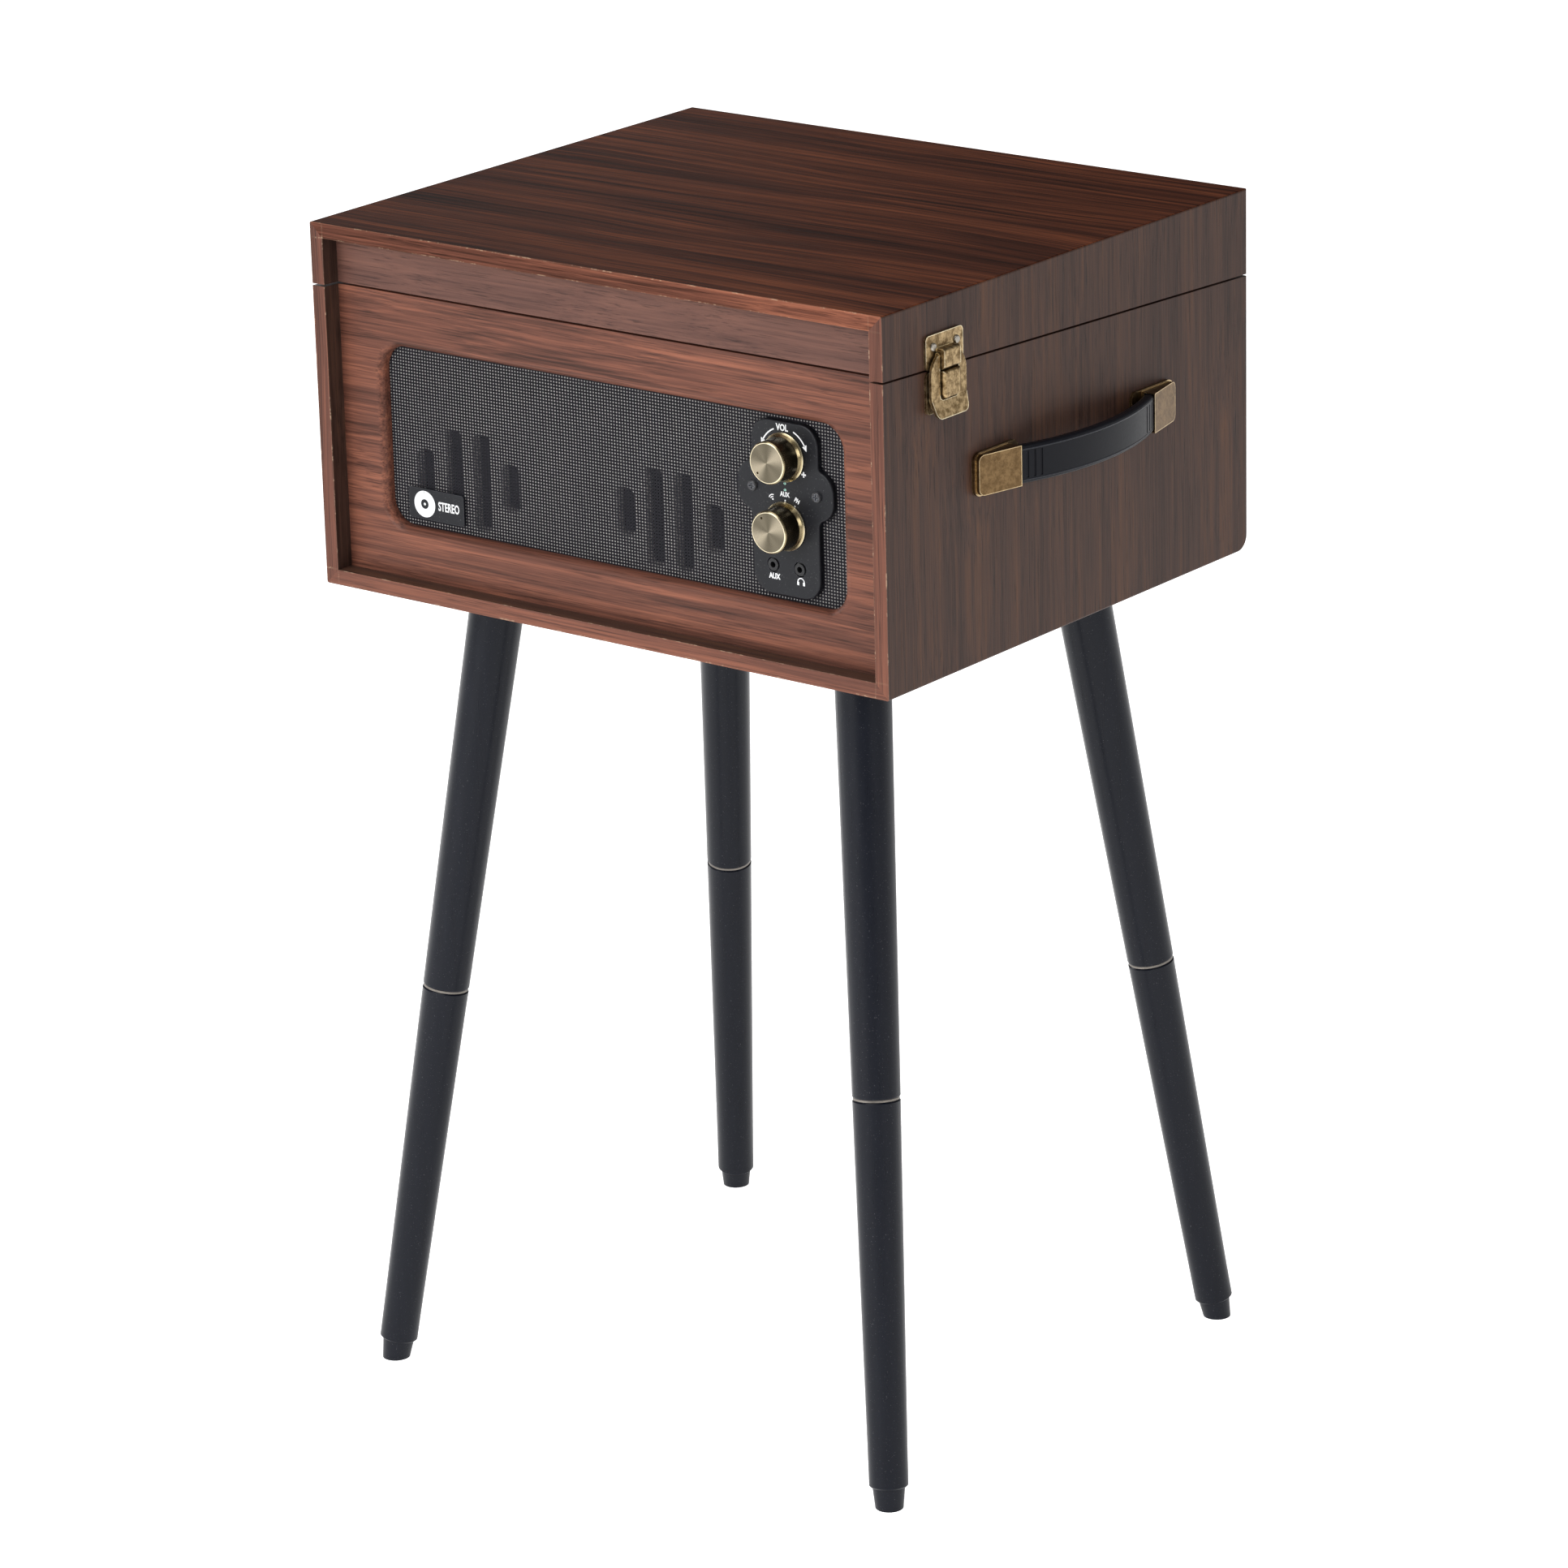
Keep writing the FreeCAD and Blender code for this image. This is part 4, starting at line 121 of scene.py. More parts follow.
# %% A wire that does maths
class Wire:
    """The output socket of a node, used like a number in an expression."""

    def __init__(self, finish, socket):
        self.finish = finish
        self.socket = socket

    def maths(self, operation, *others):
        inputs = {index: value for index, value in enumerate((self, *others))}
        return self.finish.node("Math", {"operation": operation}, inputs)

    def __add__(self, other): return self.maths("ADD", other)
    def __radd__(self, other): return self.maths("ADD", other)
    def __sub__(self, other): return self.maths("SUBTRACT", other)
    def __rsub__(self, other):
        return self.finish.node("Math", {"operation": "SUBTRACT"}, {0: other, 1: self})

    def __mul__(self, other): return self.maths("MULTIPLY", other)
    def __truediv__(self, other): return self.maths("DIVIDE", other)
    def __pow__(self, other): return self.maths("POWER", other)
    def __neg__(self): return self.maths("MULTIPLY", -1.0)
    def __abs__(self): return self.maths("ABSOLUTE")

    def sine(self): return self.maths("SINE")
    def at_least(self, other): return self.maths("MAXIMUM", other)
    def at_most(self, other): return self.maths("MINIMUM", other)
    def part(self): return self.maths("FRACT")


print("wires ready")

# %% A finish that makes its nodes
class Finish:
    """A material and its node tree."""

    def __init__(self, name):
        self.material = bpy.data.materials.new(name)
        self.material.use_nodes = True
        self.tree = self.material.node_tree
        self.tree.nodes.clear()

    def node(self, kind, settings=None, inputs=None, out=0):
        made = self.tree.nodes.new("ShaderNode" + kind)
        for key, value in (settings or {}).items():
            if key == "stops":
                self.set_stops(made.color_ramp, value)
            else:
                setattr(made, key, value)
        for key, value in (inputs or {}).items():
            self.feed(made.inputs[key], value)
        return Wire(self, made.outputs[out]) if made.outputs else None

    def feed(self, socket, value):
        if isinstance(value, Wire):
            self.tree.links.new(value.socket, socket)
        elif isinstance(value, (tuple, list)) and len(value) == 3 and len(socket.default_value) == 4:
            socket.default_value = (*value, 1.0)
        else:
            socket.default_value = value

    def set_stops(self, ramp, stops):
        while len(ramp.elements) < len(stops):
            ramp.elements.new(0.5)
        for element, (place, colour) in zip(ramp.elements, stops):
            element.position = place
            element.color = (*colour, 1.0)

    def place(self):
        """Object coordinates, which are the frame's own metres."""
        return self.node("TexCoord", out=3)

    def split(self, vector):
        return [self.node("SeparateXYZ", None, {0: vector}, out=index) for index in range(3)]

    def join(self, x, y, z):
        return self.node("CombineXYZ", None, {0: x, 1: y, 2: z})

    def noise(self, vector, scale, detail=3.0, roughness=0.5, distortion=0.0):
        inputs = {"Vector": vector, "Scale": scale, "Detail": detail, "Roughness": roughness,
                  "Distortion": distortion}
        return self.node("TexNoise", None, inputs)

    def step(self, value, start, end):
        """0 before start and 1 after end, with a soft change between."""
        inputs = {"Value": value, "From Min": start, "From Max": end}
        return self.node("MapRange", {"interpolation_type": "SMOOTHSTEP"}, inputs)

    def mix(self, amount, first, second):
        """Two colours mixed."""
        return self.node("Mix", {"data_type": "RGBA"}, {0: amount, 6: first, 7: second}, out=2)

    def shade(self, colour, amount):
        """A colour made darker or lighter by a factor."""
        settings = {"data_type": "RGBA", "blend_type": "MULTIPLY"}
        return self.node("Mix", settings, {0: 1.0, 6: colour, 7: self.join(amount, amount, amount)}, out=2)

    def ramp(self, value, stops):
        return self.node("ValToRGB", {"stops": stops}, {0: value})

    def surface(self, colour, roughness, relief=None, depth=0.0001, strength=1.0, **constants):
        """The shader at the end: varying inputs first, then the constants on its own sockets."""
        inputs = {"Base Color": colour, "Roughness": roughness}
        if relief is not None:
            bump = {"Height": relief, "Distance": depth, "Strength": strength}
            inputs["Normal"] = self.node("Bump", None, bump)
        for key, value in constants.items():
            inputs[key.replace("_", " ").title().replace("Ior", "IOR")] = value
        shader = self.node("BsdfPrincipled", None, inputs)
        self.node("OutputMaterial", None, {0: shader})
        return self.material


print("finish helper ready")

# %% Give nodes their finish
def dress(material, *names):
    """Put one material on CAD nodes."""
    for name in names:
        mesh = nodes[name].data
        mesh.materials.clear()
        mesh.materials.append(material)
        for face in mesh.polygons:
            face.material_index = 0


print("dresser ready")

# %% [markdown]
# ## Camera, floor and light
#
# A long lens stands well back, to the right of the front and above the lid, so that the case shows its
# front, its right side and its top.  The floor is pale and plain.  Wide soft boxes light it from the front
# and the sides and a little from behind, and the world around is dim, so that the top keeps its dark,
# red-brown colour instead of mirroring a white room.

# %% Camera
LENS = 144.32
CAMERA_PLACE = (2.17370, -2.77531, 1.5450)
YAW, PITCH, ROLL = math.radians(38.311), math.radians(18.647), math.radians(-1.488)
ahead = Vector((-math.sin(YAW) * math.cos(PITCH), math.cos(YAW) * math.cos(PITCH), -math.sin(PITCH)))
level_right = Vector((math.cos(YAW), math.sin(YAW), 0))
level_up = level_right.cross(ahead)
right = level_right * math.cos(ROLL) + level_up * math.sin(ROLL)
up = -level_right * math.sin(ROLL) + level_up * math.cos(ROLL)

camera_data = bpy.data.cameras.new("studio_camera")
camera_data.lens = LENS
camera_data.clip_end = 50
camera = bpy.data.objects.new("studio_camera", camera_data)
turn = Matrix((right, up, -ahead)).transposed().to_4x4()
camera.matrix_world = Matrix.Translation(CAMERA_PLACE) @ turn
bpy.context.scene.collection.objects.link(camera)
bpy.context.scene.camera = camera
print("camera at", [round(v, 3) for v in camera.location])

# %% Floor
FLOOR_HALF_WIDTH = 30
FLOOR_GLOW = 0.85
floor_mesh = bpy.data.meshes.new("floor")
sheet = bmesh.new()
bmesh.ops.create_grid(sheet, x_segments=2, y_segments=2, size=FLOOR_HALF_WIDTH)
sheet.to_mesh(floor_mesh)
sheet.free()
floor = bpy.data.objects.new("floor", floor_mesh)
bpy.context.scene.collection.objects.link(floor)
floor_finish = Finish("pale_floor")
dust = floor_finish.noise(floor_finish.place(), 3.0, 2.0)
floor_mesh.materials.append(floor_finish.surface(
    floor_finish.mix(dust, (0.86, 0.86, 0.86), (0.88, 0.88, 0.88)), 0.9,
    emission_color=(1.0, 1.0, 1.0), emission_strength=FLOOR_GLOW))
floor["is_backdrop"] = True
print("floor ready")

# %% Lights
CASE_CENTRE = Vector((0, 0, 0.55))
WORLD_LIGHT = 0.16


def soft_box(name, place, size, power):
    """A square area light that looks at the middle of the case."""
    data = bpy.data.lights.new(name, "AREA")
    data.size = size
    data.energy = power
    lamp = bpy.data.objects.new(name, data)
    lamp.location = place
    lamp.rotation_euler = (CASE_CENTRE - Vector(place)).to_track_quat("-Z", "Y").to_euler()
    bpy.context.scene.collection.objects.link(lamp)


soft_box("key_light", (-0.8, -3.2, 1.8), 2.0, 116)
soft_box("right_fill", (3.2, -0.9, 1.7), 1.6, 34)
soft_box("top_light", (-0.3, -0.9, 3.6), 2.4, 54)
soft_box("left_strip", (-2.6, -0.5, 1.0), 0.7, 16)
soft_box("back_fill", (-2.6, 2.4, 1.2), 1.2, 7)
soft_box("high_right", (3.0, 0.4, 3.0), 1.2, 12)
soft_box("right_back", (2.9, 3.1, 1.35), 2.0, 13)
world = bpy.data.worlds.new("dim_room")
world.use_nodes = True
world.node_tree.nodes["Background"].inputs["Color"].default_value = (1.0, 1.0, 1.0, 1.0)
world.node_tree.nodes["Background"].inputs["Strength"].default_value = WORLD_LIGHT
bpy.context.scene.world = world
bpy.context.scene.view_settings.view_transform = "Standard"

# %% [markdown]
# ## Walnut vinyl
#
# The boards are wrapped in a printed film.  A print of wood has wide soft bands, long thin streaks and
# short dark pores, all stretched along the grain.  Each is a noise whose coordinates are squeezed along one
# axis, so one function makes every board: it is told which way the grain runs, which tones it has and how
# much the figure bends.  The pairs in STRETCH are the scales along and across the grain, per metre.  The
# film is smooth, so the relief is only a few hundredths of a millimetre.

# %% Tones of the film
# The top and side tone sets are the front panel's print made darker: painted shade, not a darker print.
TOP_TONES_PAINTED_SHADE = ((0.008, 0.0024, 0.0014), (0.045, 0.013, 0.0066), (0.120, 0.036, 0.016))
PANEL_TONES = ((0.040, 0.016, 0.011), (0.108, 0.040, 0.026), (0.215, 0.078, 0.046))
STRIP_TONES = ((0.056, 0.026, 0.021), (0.100, 0.046, 0.035), (0.145, 0.066, 0.047))
SIDE_TONES_PAINTED_SHADE = ((0.020, 0.0100, 0.0075), (0.047, 0.0240, 0.0175), (0.090, 0.040, 0.021))
TONE_PLACES = (0.30, 0.50, 0.72)
FIBRE_BOARD = (0.46, 0.33, 0.22)
print("tones: top, panel, strip and side")

# %% Grain
ORDER = {"x": (0, 1, 2), "y": (1, 2, 0), "z": (2, 0, 1)}
STRETCH = {"swirl": (3.0, 9.0), "bands": (1.3, 30.0), "streaks": (3.4, 210.0), "fibres": (9.0, 820.0),
           "dashes": (24.0, 1100.0)}
PORE_RANGE = (0.54, 0.66)


def grain(finish, place, along, shift, bend):
    """Bands, streaks and pores of a print whose grain runs along one axis."""
    parts = finish.split(place)
    length, wide, deep = [parts[index] for index in ORDER[along]]

    def stretched(layer, detail, roughness=0.5):
        along_scale, across_scale = STRETCH[layer]
        squeezed = finish.join(length * along_scale + shift, wide * across_scale, deep * across_scale)
        return finish.noise(squeezed, 1.0, detail, roughness)

    wide = wide + (stretched("swirl", 2.0) - 0.5) * bend
    bands = stretched("bands", 3.0)
    streaks = stretched("streaks", 5.0, 0.62)
    fibres = stretched("fibres", 2.0, 0.6)
    pores = finish.step(stretched("dashes", 3.0, 0.6), *PORE_RANGE)
    return bands, streaks, fibres, pores


print("grain runs along:", sorted(ORDER))

# %% [markdown]
# Real edges give a wrapped board away: the film is rubbed thin on the sharp corners and the pale fibre
# board shows through in short broken lines.  A line of wear is drawn where a point is close to an edge in
# two coordinates, and a coarse noise breaks it up.

# %% Worn edges
def near_edge(finish, first, first_at, second, second_at, width):
    """1 on the line where two coordinates have their values, 0 a width away from it."""
    away = ((first - first_at) * (first - first_at) + (second - second_at) * (second - second_at)) ** 0.5
    return 1 - finish.step(away, width * 0.4, width)


def front_wear(finish, place):
    """Rubbed lines along the edges of the frame round the front, each with its width and strength."""
    x, y, z = finish.split(place)
    half = (OUTER_RIGHT - OUTER_LEFT) / 2
    side = abs(x - MIDDLE_X)
    edges = [(side, half, 0.7, 0.8), (side, half - BOARD, 0.7, 1.0), (z, UNDERSIDE, 0.8, 0.6),
             (z, INNER_FLOOR, 0.8, 1.0), (z, TOP, 0.8, 0.8), (z, INNER_CEILING, 0.7, 0.6)]
    lines = [near_edge(finish, value, at, y, FRONT, width * MM) * strength
             for value, at, width, strength in edges]
    total = lines[0]
    for line in lines[1:]:
        total = total.at_least(line)
    patches = finish.step(finish.noise(place, 120.0, 4.0, 0.75), 0.52, 0.66)
    return total * (patches * 0.50 + 0.04)


print("wear lines ready")

# %% [markdown]
# The film turns over every edge, so one material covers a whole board.  The top, the sides, the bottom and
# the back get darker tones than the front: painted shade on one print.  The top, side and bottom boards
# have the front's lighter tones as a second set, mixed in on faces that look toward the front as painted
# light.

# %% The film on a board
def film(name, along, tones, shift, bend=0.010, lit_front_tones=None, contrast=1.0, gloss=0.43, shine=0.14):
    """Printed film on a board, rubbed at its front edges."""
    finish = Finish(name)
    place = finish.place()
    bands, streaks, fibres, pores = grain(finish, place, along, shift, bend)
    value = bands * 0.46 + streaks * 0.50 + fibres * 0.40 - 0.18
    value = (value - 0.5) * contrast + 0.5
    colour = finish.ramp(value, list(zip(TONE_PLACES, tones)))
    if lit_front_tones:
        facing = finish.split(finish.node("NewGeometry", out=1))[1]
        # Faces that look toward the front take the lighter front tones: painted light.
        painted_front_light = finish.step(-facing, 0.35, 0.75)
        colour = finish.mix(painted_front_light, colour, finish.ramp(value, list(zip(TONE_PLACES, lit_front_tones))))
    colour = finish.shade(colour, 1 - pores * 0.42)
    wear = front_wear(finish, place)
    colour = finish.mix(wear, colour, FIBRE_BOARD)
    roughness = gloss + (fibres - 0.5) * 0.16 + wear * 0.3
    relief = fibres * 0.6 - pores
    return finish.surface(colour, roughness, relief, 0.00004, 0.6, specular_ior_level=shine)


dress(film("film_lid_top", "x", TOP_TONES_PAINTED_SHADE, 0.0, 0.030, PANEL_TONES, 1.5, 0.55, 0.02), "lid_top")
dress(film("film_front_panel", "x", PANEL_TONES, 4.0, 0.022, None, 1.35), "front_panel")
dress(film("film_lid_front", "x", STRIP_TONES, 9.0, 0.050, None, 1.0), "lid_front")
dress(film("film_sides", "z", SIDE_TONES_PAINTED_SHADE, 2.0, 0.030, PANEL_TONES, 1.05),
      "right_side_panel", "left_side_panel", "lid_right_side", "lid_left_side")
dress(film("film_bottom", "x", SIDE_TONES_PAINTED_SHADE, 6.0, 0.012, PANEL_TONES), "bottom_panel")
dress(film("film_back", "x", SIDE_TONES_PAINTED_SHADE, 7.0, 0.012), "back_panel", "lid_back")
print("boards dressed: 10")

# %% [markdown]
# ## Brass, steel and lacquer
#
# The fittings are plated with antiqued brass: brown in the flats, cloudy where the plating is thin, and
# bright gold on every edge, partly rubbed wear and partly a painted highlight where a rounded edge would
# catch light.  A Bevel node gives the normal that the edge would have if it were rounded, and where that
# differs from the true normal the point is close to an edge.

# %% Edges: rubbed wear and painted highlights
def rubbed(finish, radius):
    """1 close to a sharp edge, 0 on a flat."""
    rounded = finish.node("Bevel", {"samples": 6}, {"Radius": radius})
    true = finish.node("NewGeometry", out=1)
    agreement = finish.node("VectorMath", {"operation": "DOT_PRODUCT"}, {0: rounded, 1: true}, out=1)
    return finish.step(1 - agreement, 0.015, 0.20)


print("edge mask ready")

# %% Antiqued brass
def antiqued(name, dark, bright, rim, rim_radius):
    """Plated brass: cloudy brown flats, bright rims of rubbed wear and painted highlight, fine scratches
    and pits.
    """
    finish = Finish(name)
    place = finish.place()
    clouds = finish.noise(place, 240.0, 5.0, 0.70)
    specks = finish.noise(place, 900.0, 3.0, 0.7)
    x, y, z = finish.split(place)
    scratches = finish.noise(finish.join(x * 300.0, y * 260.0, z * 2400.0), 1.0, 2.0)
    edge = rubbed(finish, rim_radius)
    colour = finish.mix(finish.step(clouds, 0.36, 0.66), dark, bright)
    colour = finish.shade(colour, 1 - finish.step(specks, 0.58, 0.72) * 0.45)
    # Bright rims on the edges: rubbed wear and a painted highlight together.
    colour = finish.mix(edge * (clouds * 0.6 + 0.55).at_most(1.0), colour, rim)
    roughness = 0.40 - edge * 0.16 + (specks - 0.5) * 0.20
    relief = specks * 0.6 + scratches * 0.5
    return finish.surface(colour, roughness, relief, 0.00006, 0.55, metallic=1.0)


LATCH_DARK, LATCH_BRIGHT, LATCH_RIM = (0.13, 0.082, 0.034), (0.44, 0.32, 0.17), (1.0, 0.90, 0.64)
latch_brass = antiqued("latch_brass", LATCH_DARK, LATCH_BRIGHT, LATCH_RIM, 1.1 * MM)
CAP_DARK, CAP_BRIGHT, CAP_RIM = (0.110, 0.066, 0.029), (0.190, 0.120, 0.056), (0.80, 0.62, 0.36)
cap_brass = antiqued("cap_brass", CAP_DARK, CAP_BRIGHT, CAP_RIM, 1.2 * MM)
dress(latch_brass, "latch_keepers", "latch_plates", "latch_hasp_right", "latch_hasp_left")
dress(latch_brass, "hinge_case_leaves", "hinge_lid_leaves", "hinge_pins")
dress(cap_brass, "handle_caps")
print("brass nodes: 8")

# %% [markdown]
# Small turned parts are steel, nickel or brass.  A lathe leaves fine rings, so their relief is a sine of
# the distance along the axis, with a noise for dirt and handling.

# %% Turned metal
def turned(name, colour_low, colour_high, axis, roughness=0.28, spacing=0.35 * MM):
    """Bright metal with fine tool marks stacked along one axis."""
    finish = Finish(name)
    place = finish.place()
    along = finish.split(place)["xyz".index(axis)]
    wave = (along * (2 * math.pi / spacing)).sine()
    haze = finish.noise(place, 120.0, 4.0, 0.6)
    spots = finish.noise(place, 700.0, 2.0)
    colour = finish.mix(haze, colour_low, colour_high)
    colour = finish.shade(colour, 1 - finish.step(spots, 0.62, 0.75) * 0.3)
    return finish.surface(colour, roughness + (haze - 0.5) * 0.25, wave * 0.5 + spots * 0.5, 0.00002, 0.5,
                          metallic=1.0)


STEEL_LOW, STEEL_HIGH = (0.42, 0.42, 0.43), (0.68, 0.68, 0.69)
steel_upright = turned("steel_turned_upright", STEEL_LOW, STEEL_HIGH, "z")
steel_across = turned("steel_turned_across", STEEL_LOW, STEEL_HIGH, "y")
dress(steel_upright, "spindle", "bearing_housing", "motor", "leg_studs")
dress(steel_across, "volume_shaft", "selector_shaft")
dress(turned("pulley_brass", (0.52, 0.40, 0.18), (0.78, 0.63, 0.34), "z"), "motor_pulley")
dress(turned("nickel_screws", (0.22, 0.20, 0.17), (0.42, 0.39, 0.34), "x", 0.34, 0.5 * MM),
      "brass_screws_case", "brass_screws_lid")
dress(turned("joint_nickel", (0.05, 0.048, 0.045), (0.30, 0.27, 0.24), "z", 0.45, 0.6 * MM),
      "leg_joint_rings")
print("turned parts: 10")

# %% [markdown]
# The legs are turned wood or tube under several coats of black lacquer.  The lacquer levels itself but
# keeps a slow waviness, called orange peel, that breaks the edges of long reflections, and it picks up dust
# and faint rubbing near the floor.

# %% Leg lacquer
def lacquer():
    """Satin black lacquer with a blue cast."""
    finish = Finish("leg_lacquer")
    place = finish.place()
    x, y, z = finish.split(place)
    peel = finish.noise(place, 190.0, 2.0)
    strokes = finish.noise(finish.join(x * 260.0, y * 260.0, z * 7.0), 1.0, 3.0)
    dust = finish.step(finish.noise(place, 1500.0, 1.0), 0.70, 0.76)
    colour = finish.mix(strokes, (0.0020, 0.0028, 0.0062), (0.0045, 0.0058, 0.0108))
    colour = finish.mix(dust * 0.5, colour, (0.10, 0.10, 0.11))
    scuffs = 1 - finish.step(z, 0.0, 0.05)
    roughness = 0.24 + strokes * 0.10 + scuffs * 0.12 + dust * 0.2
    relief = peel * 0.6 + strokes * 0.08
    return finish.surface(colour, roughness, relief, 0.00006, 0.3, specular_ior_level=0.17)


dress(lacquer(), "leg_upper_sections", "leg_lower_sections", "leg_tips")
print("leg nodes: 3")

# %% [markdown]
# ## Black plates and mouldings
#
# Powder-coated steel has a fine, even pebble; a moulding has a coarser grain with a duller gloss.  One
# function makes both from the size of the pebble, the tone and the gloss.

# %% Coated and moulded black
def black_coat(name, low, high, roughness, pebble, depth, edge_highlight=0.0):
    """Black coat or moulding with a pebble, faint dust and a painted highlight on its edges."""
    finish = Finish(name)
    place = finish.place()
    cells = finish.node("TexVoronoi", {"feature": "SMOOTH_F1"}, {"Vector": place, "Scale": pebble})
    drift = finish.noise(place, 18.0, 3.0, 0.6)
    dust = finish.step(finish.noise(place, 1100.0, 2.0), 0.66, 0.74)
    colour = finish.mix(drift, low, high)
    colour = finish.mix(dust * 0.35, colour, (0.14, 0.14, 0.14))
    gloss = roughness + (drift - 0.5) * 0.14 + dust * 0.15
    if edge_highlight:
        # Lighter edges, and glints on the screws: a painted highlight.
        edge = rubbed(finish, 0.5 * MM)
        colour = finish.mix(edge * edge_highlight, colour, (0.20, 0.21, 0.24))
        gloss = gloss - edge * 0.10
    return finish.surface(colour, gloss, cells, depth, 0.4, specular_ior_level=0.20)


plate_black = black_coat("plate_black", (0.0030, 0.0033, 0.0050), (0.0058, 0.0064, 0.0090),
                         0.42, 2600.0, 0.00002, 0.20)
dress(plate_black, "control_plate", "badge_plate", "rear_socket_plate", "leg_plates", "speaker_frames")
moulding = black_coat("black_moulding", (0.012, 0.012, 0.013), (0.021, 0.021, 0.022),
                      0.46, 1500.0, 0.00005, 0.15)
dress(moulding, "control_bodies", "front_jacks", "dc_inlet", "phono_sockets")
dress(moulding, "tonearm_base", "tonearm_yoke", "tonearm_rest", "cue_lever", "speed_switch", "tonearm_head")
dress(black_coat("deck_black", (0.016, 0.016, 0.017), (0.026, 0.026, 0.027), 0.55, 620.0, 0.00012),
      "deck_plate")
dress(black_coat("screw_black", (0.020, 0.020, 0.022), (0.045, 0.045, 0.048), 0.24, 900.0, 0.00004, 1.0),
      "panel_screws")
dress(black_coat("belt_rubber", (0.008, 0.008, 0.008), (0.016, 0.016, 0.016), 0.78, 2200.0, 0.00004),
      "drive_belt")
print("black nodes: 18")

# %% [markdown]
# The carrying grip is a soft moulding with grooves across its ends, which are already in its shape.  A fine
# raised border runs round it, and a row of pips stands over the grooves.  Those are a few tenths of a
# millimetre high, so they are heights that a Bump node turns into shading, measured from the grip's own
# edges and ends; the border and pips are also painted lighter, as a painted highlight.

# %% Carrying grip
GRIP_LOW, GRIP_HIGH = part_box("handle_grip")
GRIP_MIDDLE = (GRIP_LOW + GRIP_HIGH) / 2
GRIP_HALF_LENGTH = (GRIP_HIGH.y - GRIP_LOW.y) / 2
GRIP_HALF_HEIGHT = (GRIP_HIGH.z - GRIP_LOW.z) / 2
BORDER_INSET = 2.2 * MM
PIP_STEP = 4.0 * MM
PIP_COUNT = 3
PIP_RADIUS = 0.7 * MM


def line_at(finish, value, at, width):
    """1 where a value is at a place, 0 a width away."""
    return 1 - finish.step(abs(value - at), width * 0.35, width)


def grip_finish():
    finish = Finish("grip_moulding")
    place = finish.place()
    _, y, z = finish.split(place)
    across = abs(z - GRIP_MIDDLE.z)
    from_end = GRIP_HALF_LENGTH - abs(y - GRIP_MIDDLE.y)
    border = line_at(finish, across, GRIP_HALF_HEIGHT - BORDER_INSET, 0.6 * MM)
    pip_row = GRIP_HALF_HEIGHT - 2 * BORDER_INSET
    raised = border
    for index in range(PIP_COUNT):
        along = from_end - PIP_STEP * (index + 0.5)
        away = (along * along + (across - pip_row) * (across - pip_row)) ** 0.5
        raised = raised.at_least(1 - finish.step(away, PIP_RADIUS * 0.5, PIP_RADIUS))
    skin = finish.noise(place, 480.0, 3.0, 0.6)
    drift = finish.noise(place, 26.0, 2.0)
    colour = finish.mix(drift, (0.0028, 0.0032, 0.0052), (0.0055, 0.0060, 0.0090))
    # The raised border and pips are painted lighter: a painted highlight.
    colour = finish.mix(raised * 0.35, colour, (0.055, 0.058, 0.068))
    roughness = 0.34 + (skin - 0.5) * 0.15 - raised * 0.08
    return finish.surface(colour, roughness, raised + skin * 0.08, 0.00040, 0.9, specular_ior_level=0.12)


dress(grip_finish(), "handle_grip")
print("grip:", round(GRIP_HALF_LENGTH * 2, 4), "m long")

# %% [markdown]
# ## Knobs
#
# The knobs are spun aluminium anodised champagne: a face with tight rings, a dark bronze waist and a bright
# gold skirt.  The bright wedges on the face are painted highlights by angle round the axis, the waist is
# painted lighter toward the front as a painted reflection, and bright lines on the face edge and the skirt
# edge are painted highlights.  The rings are a height that depends on the distance from the axis, and the
# colour changes with the distance along it.

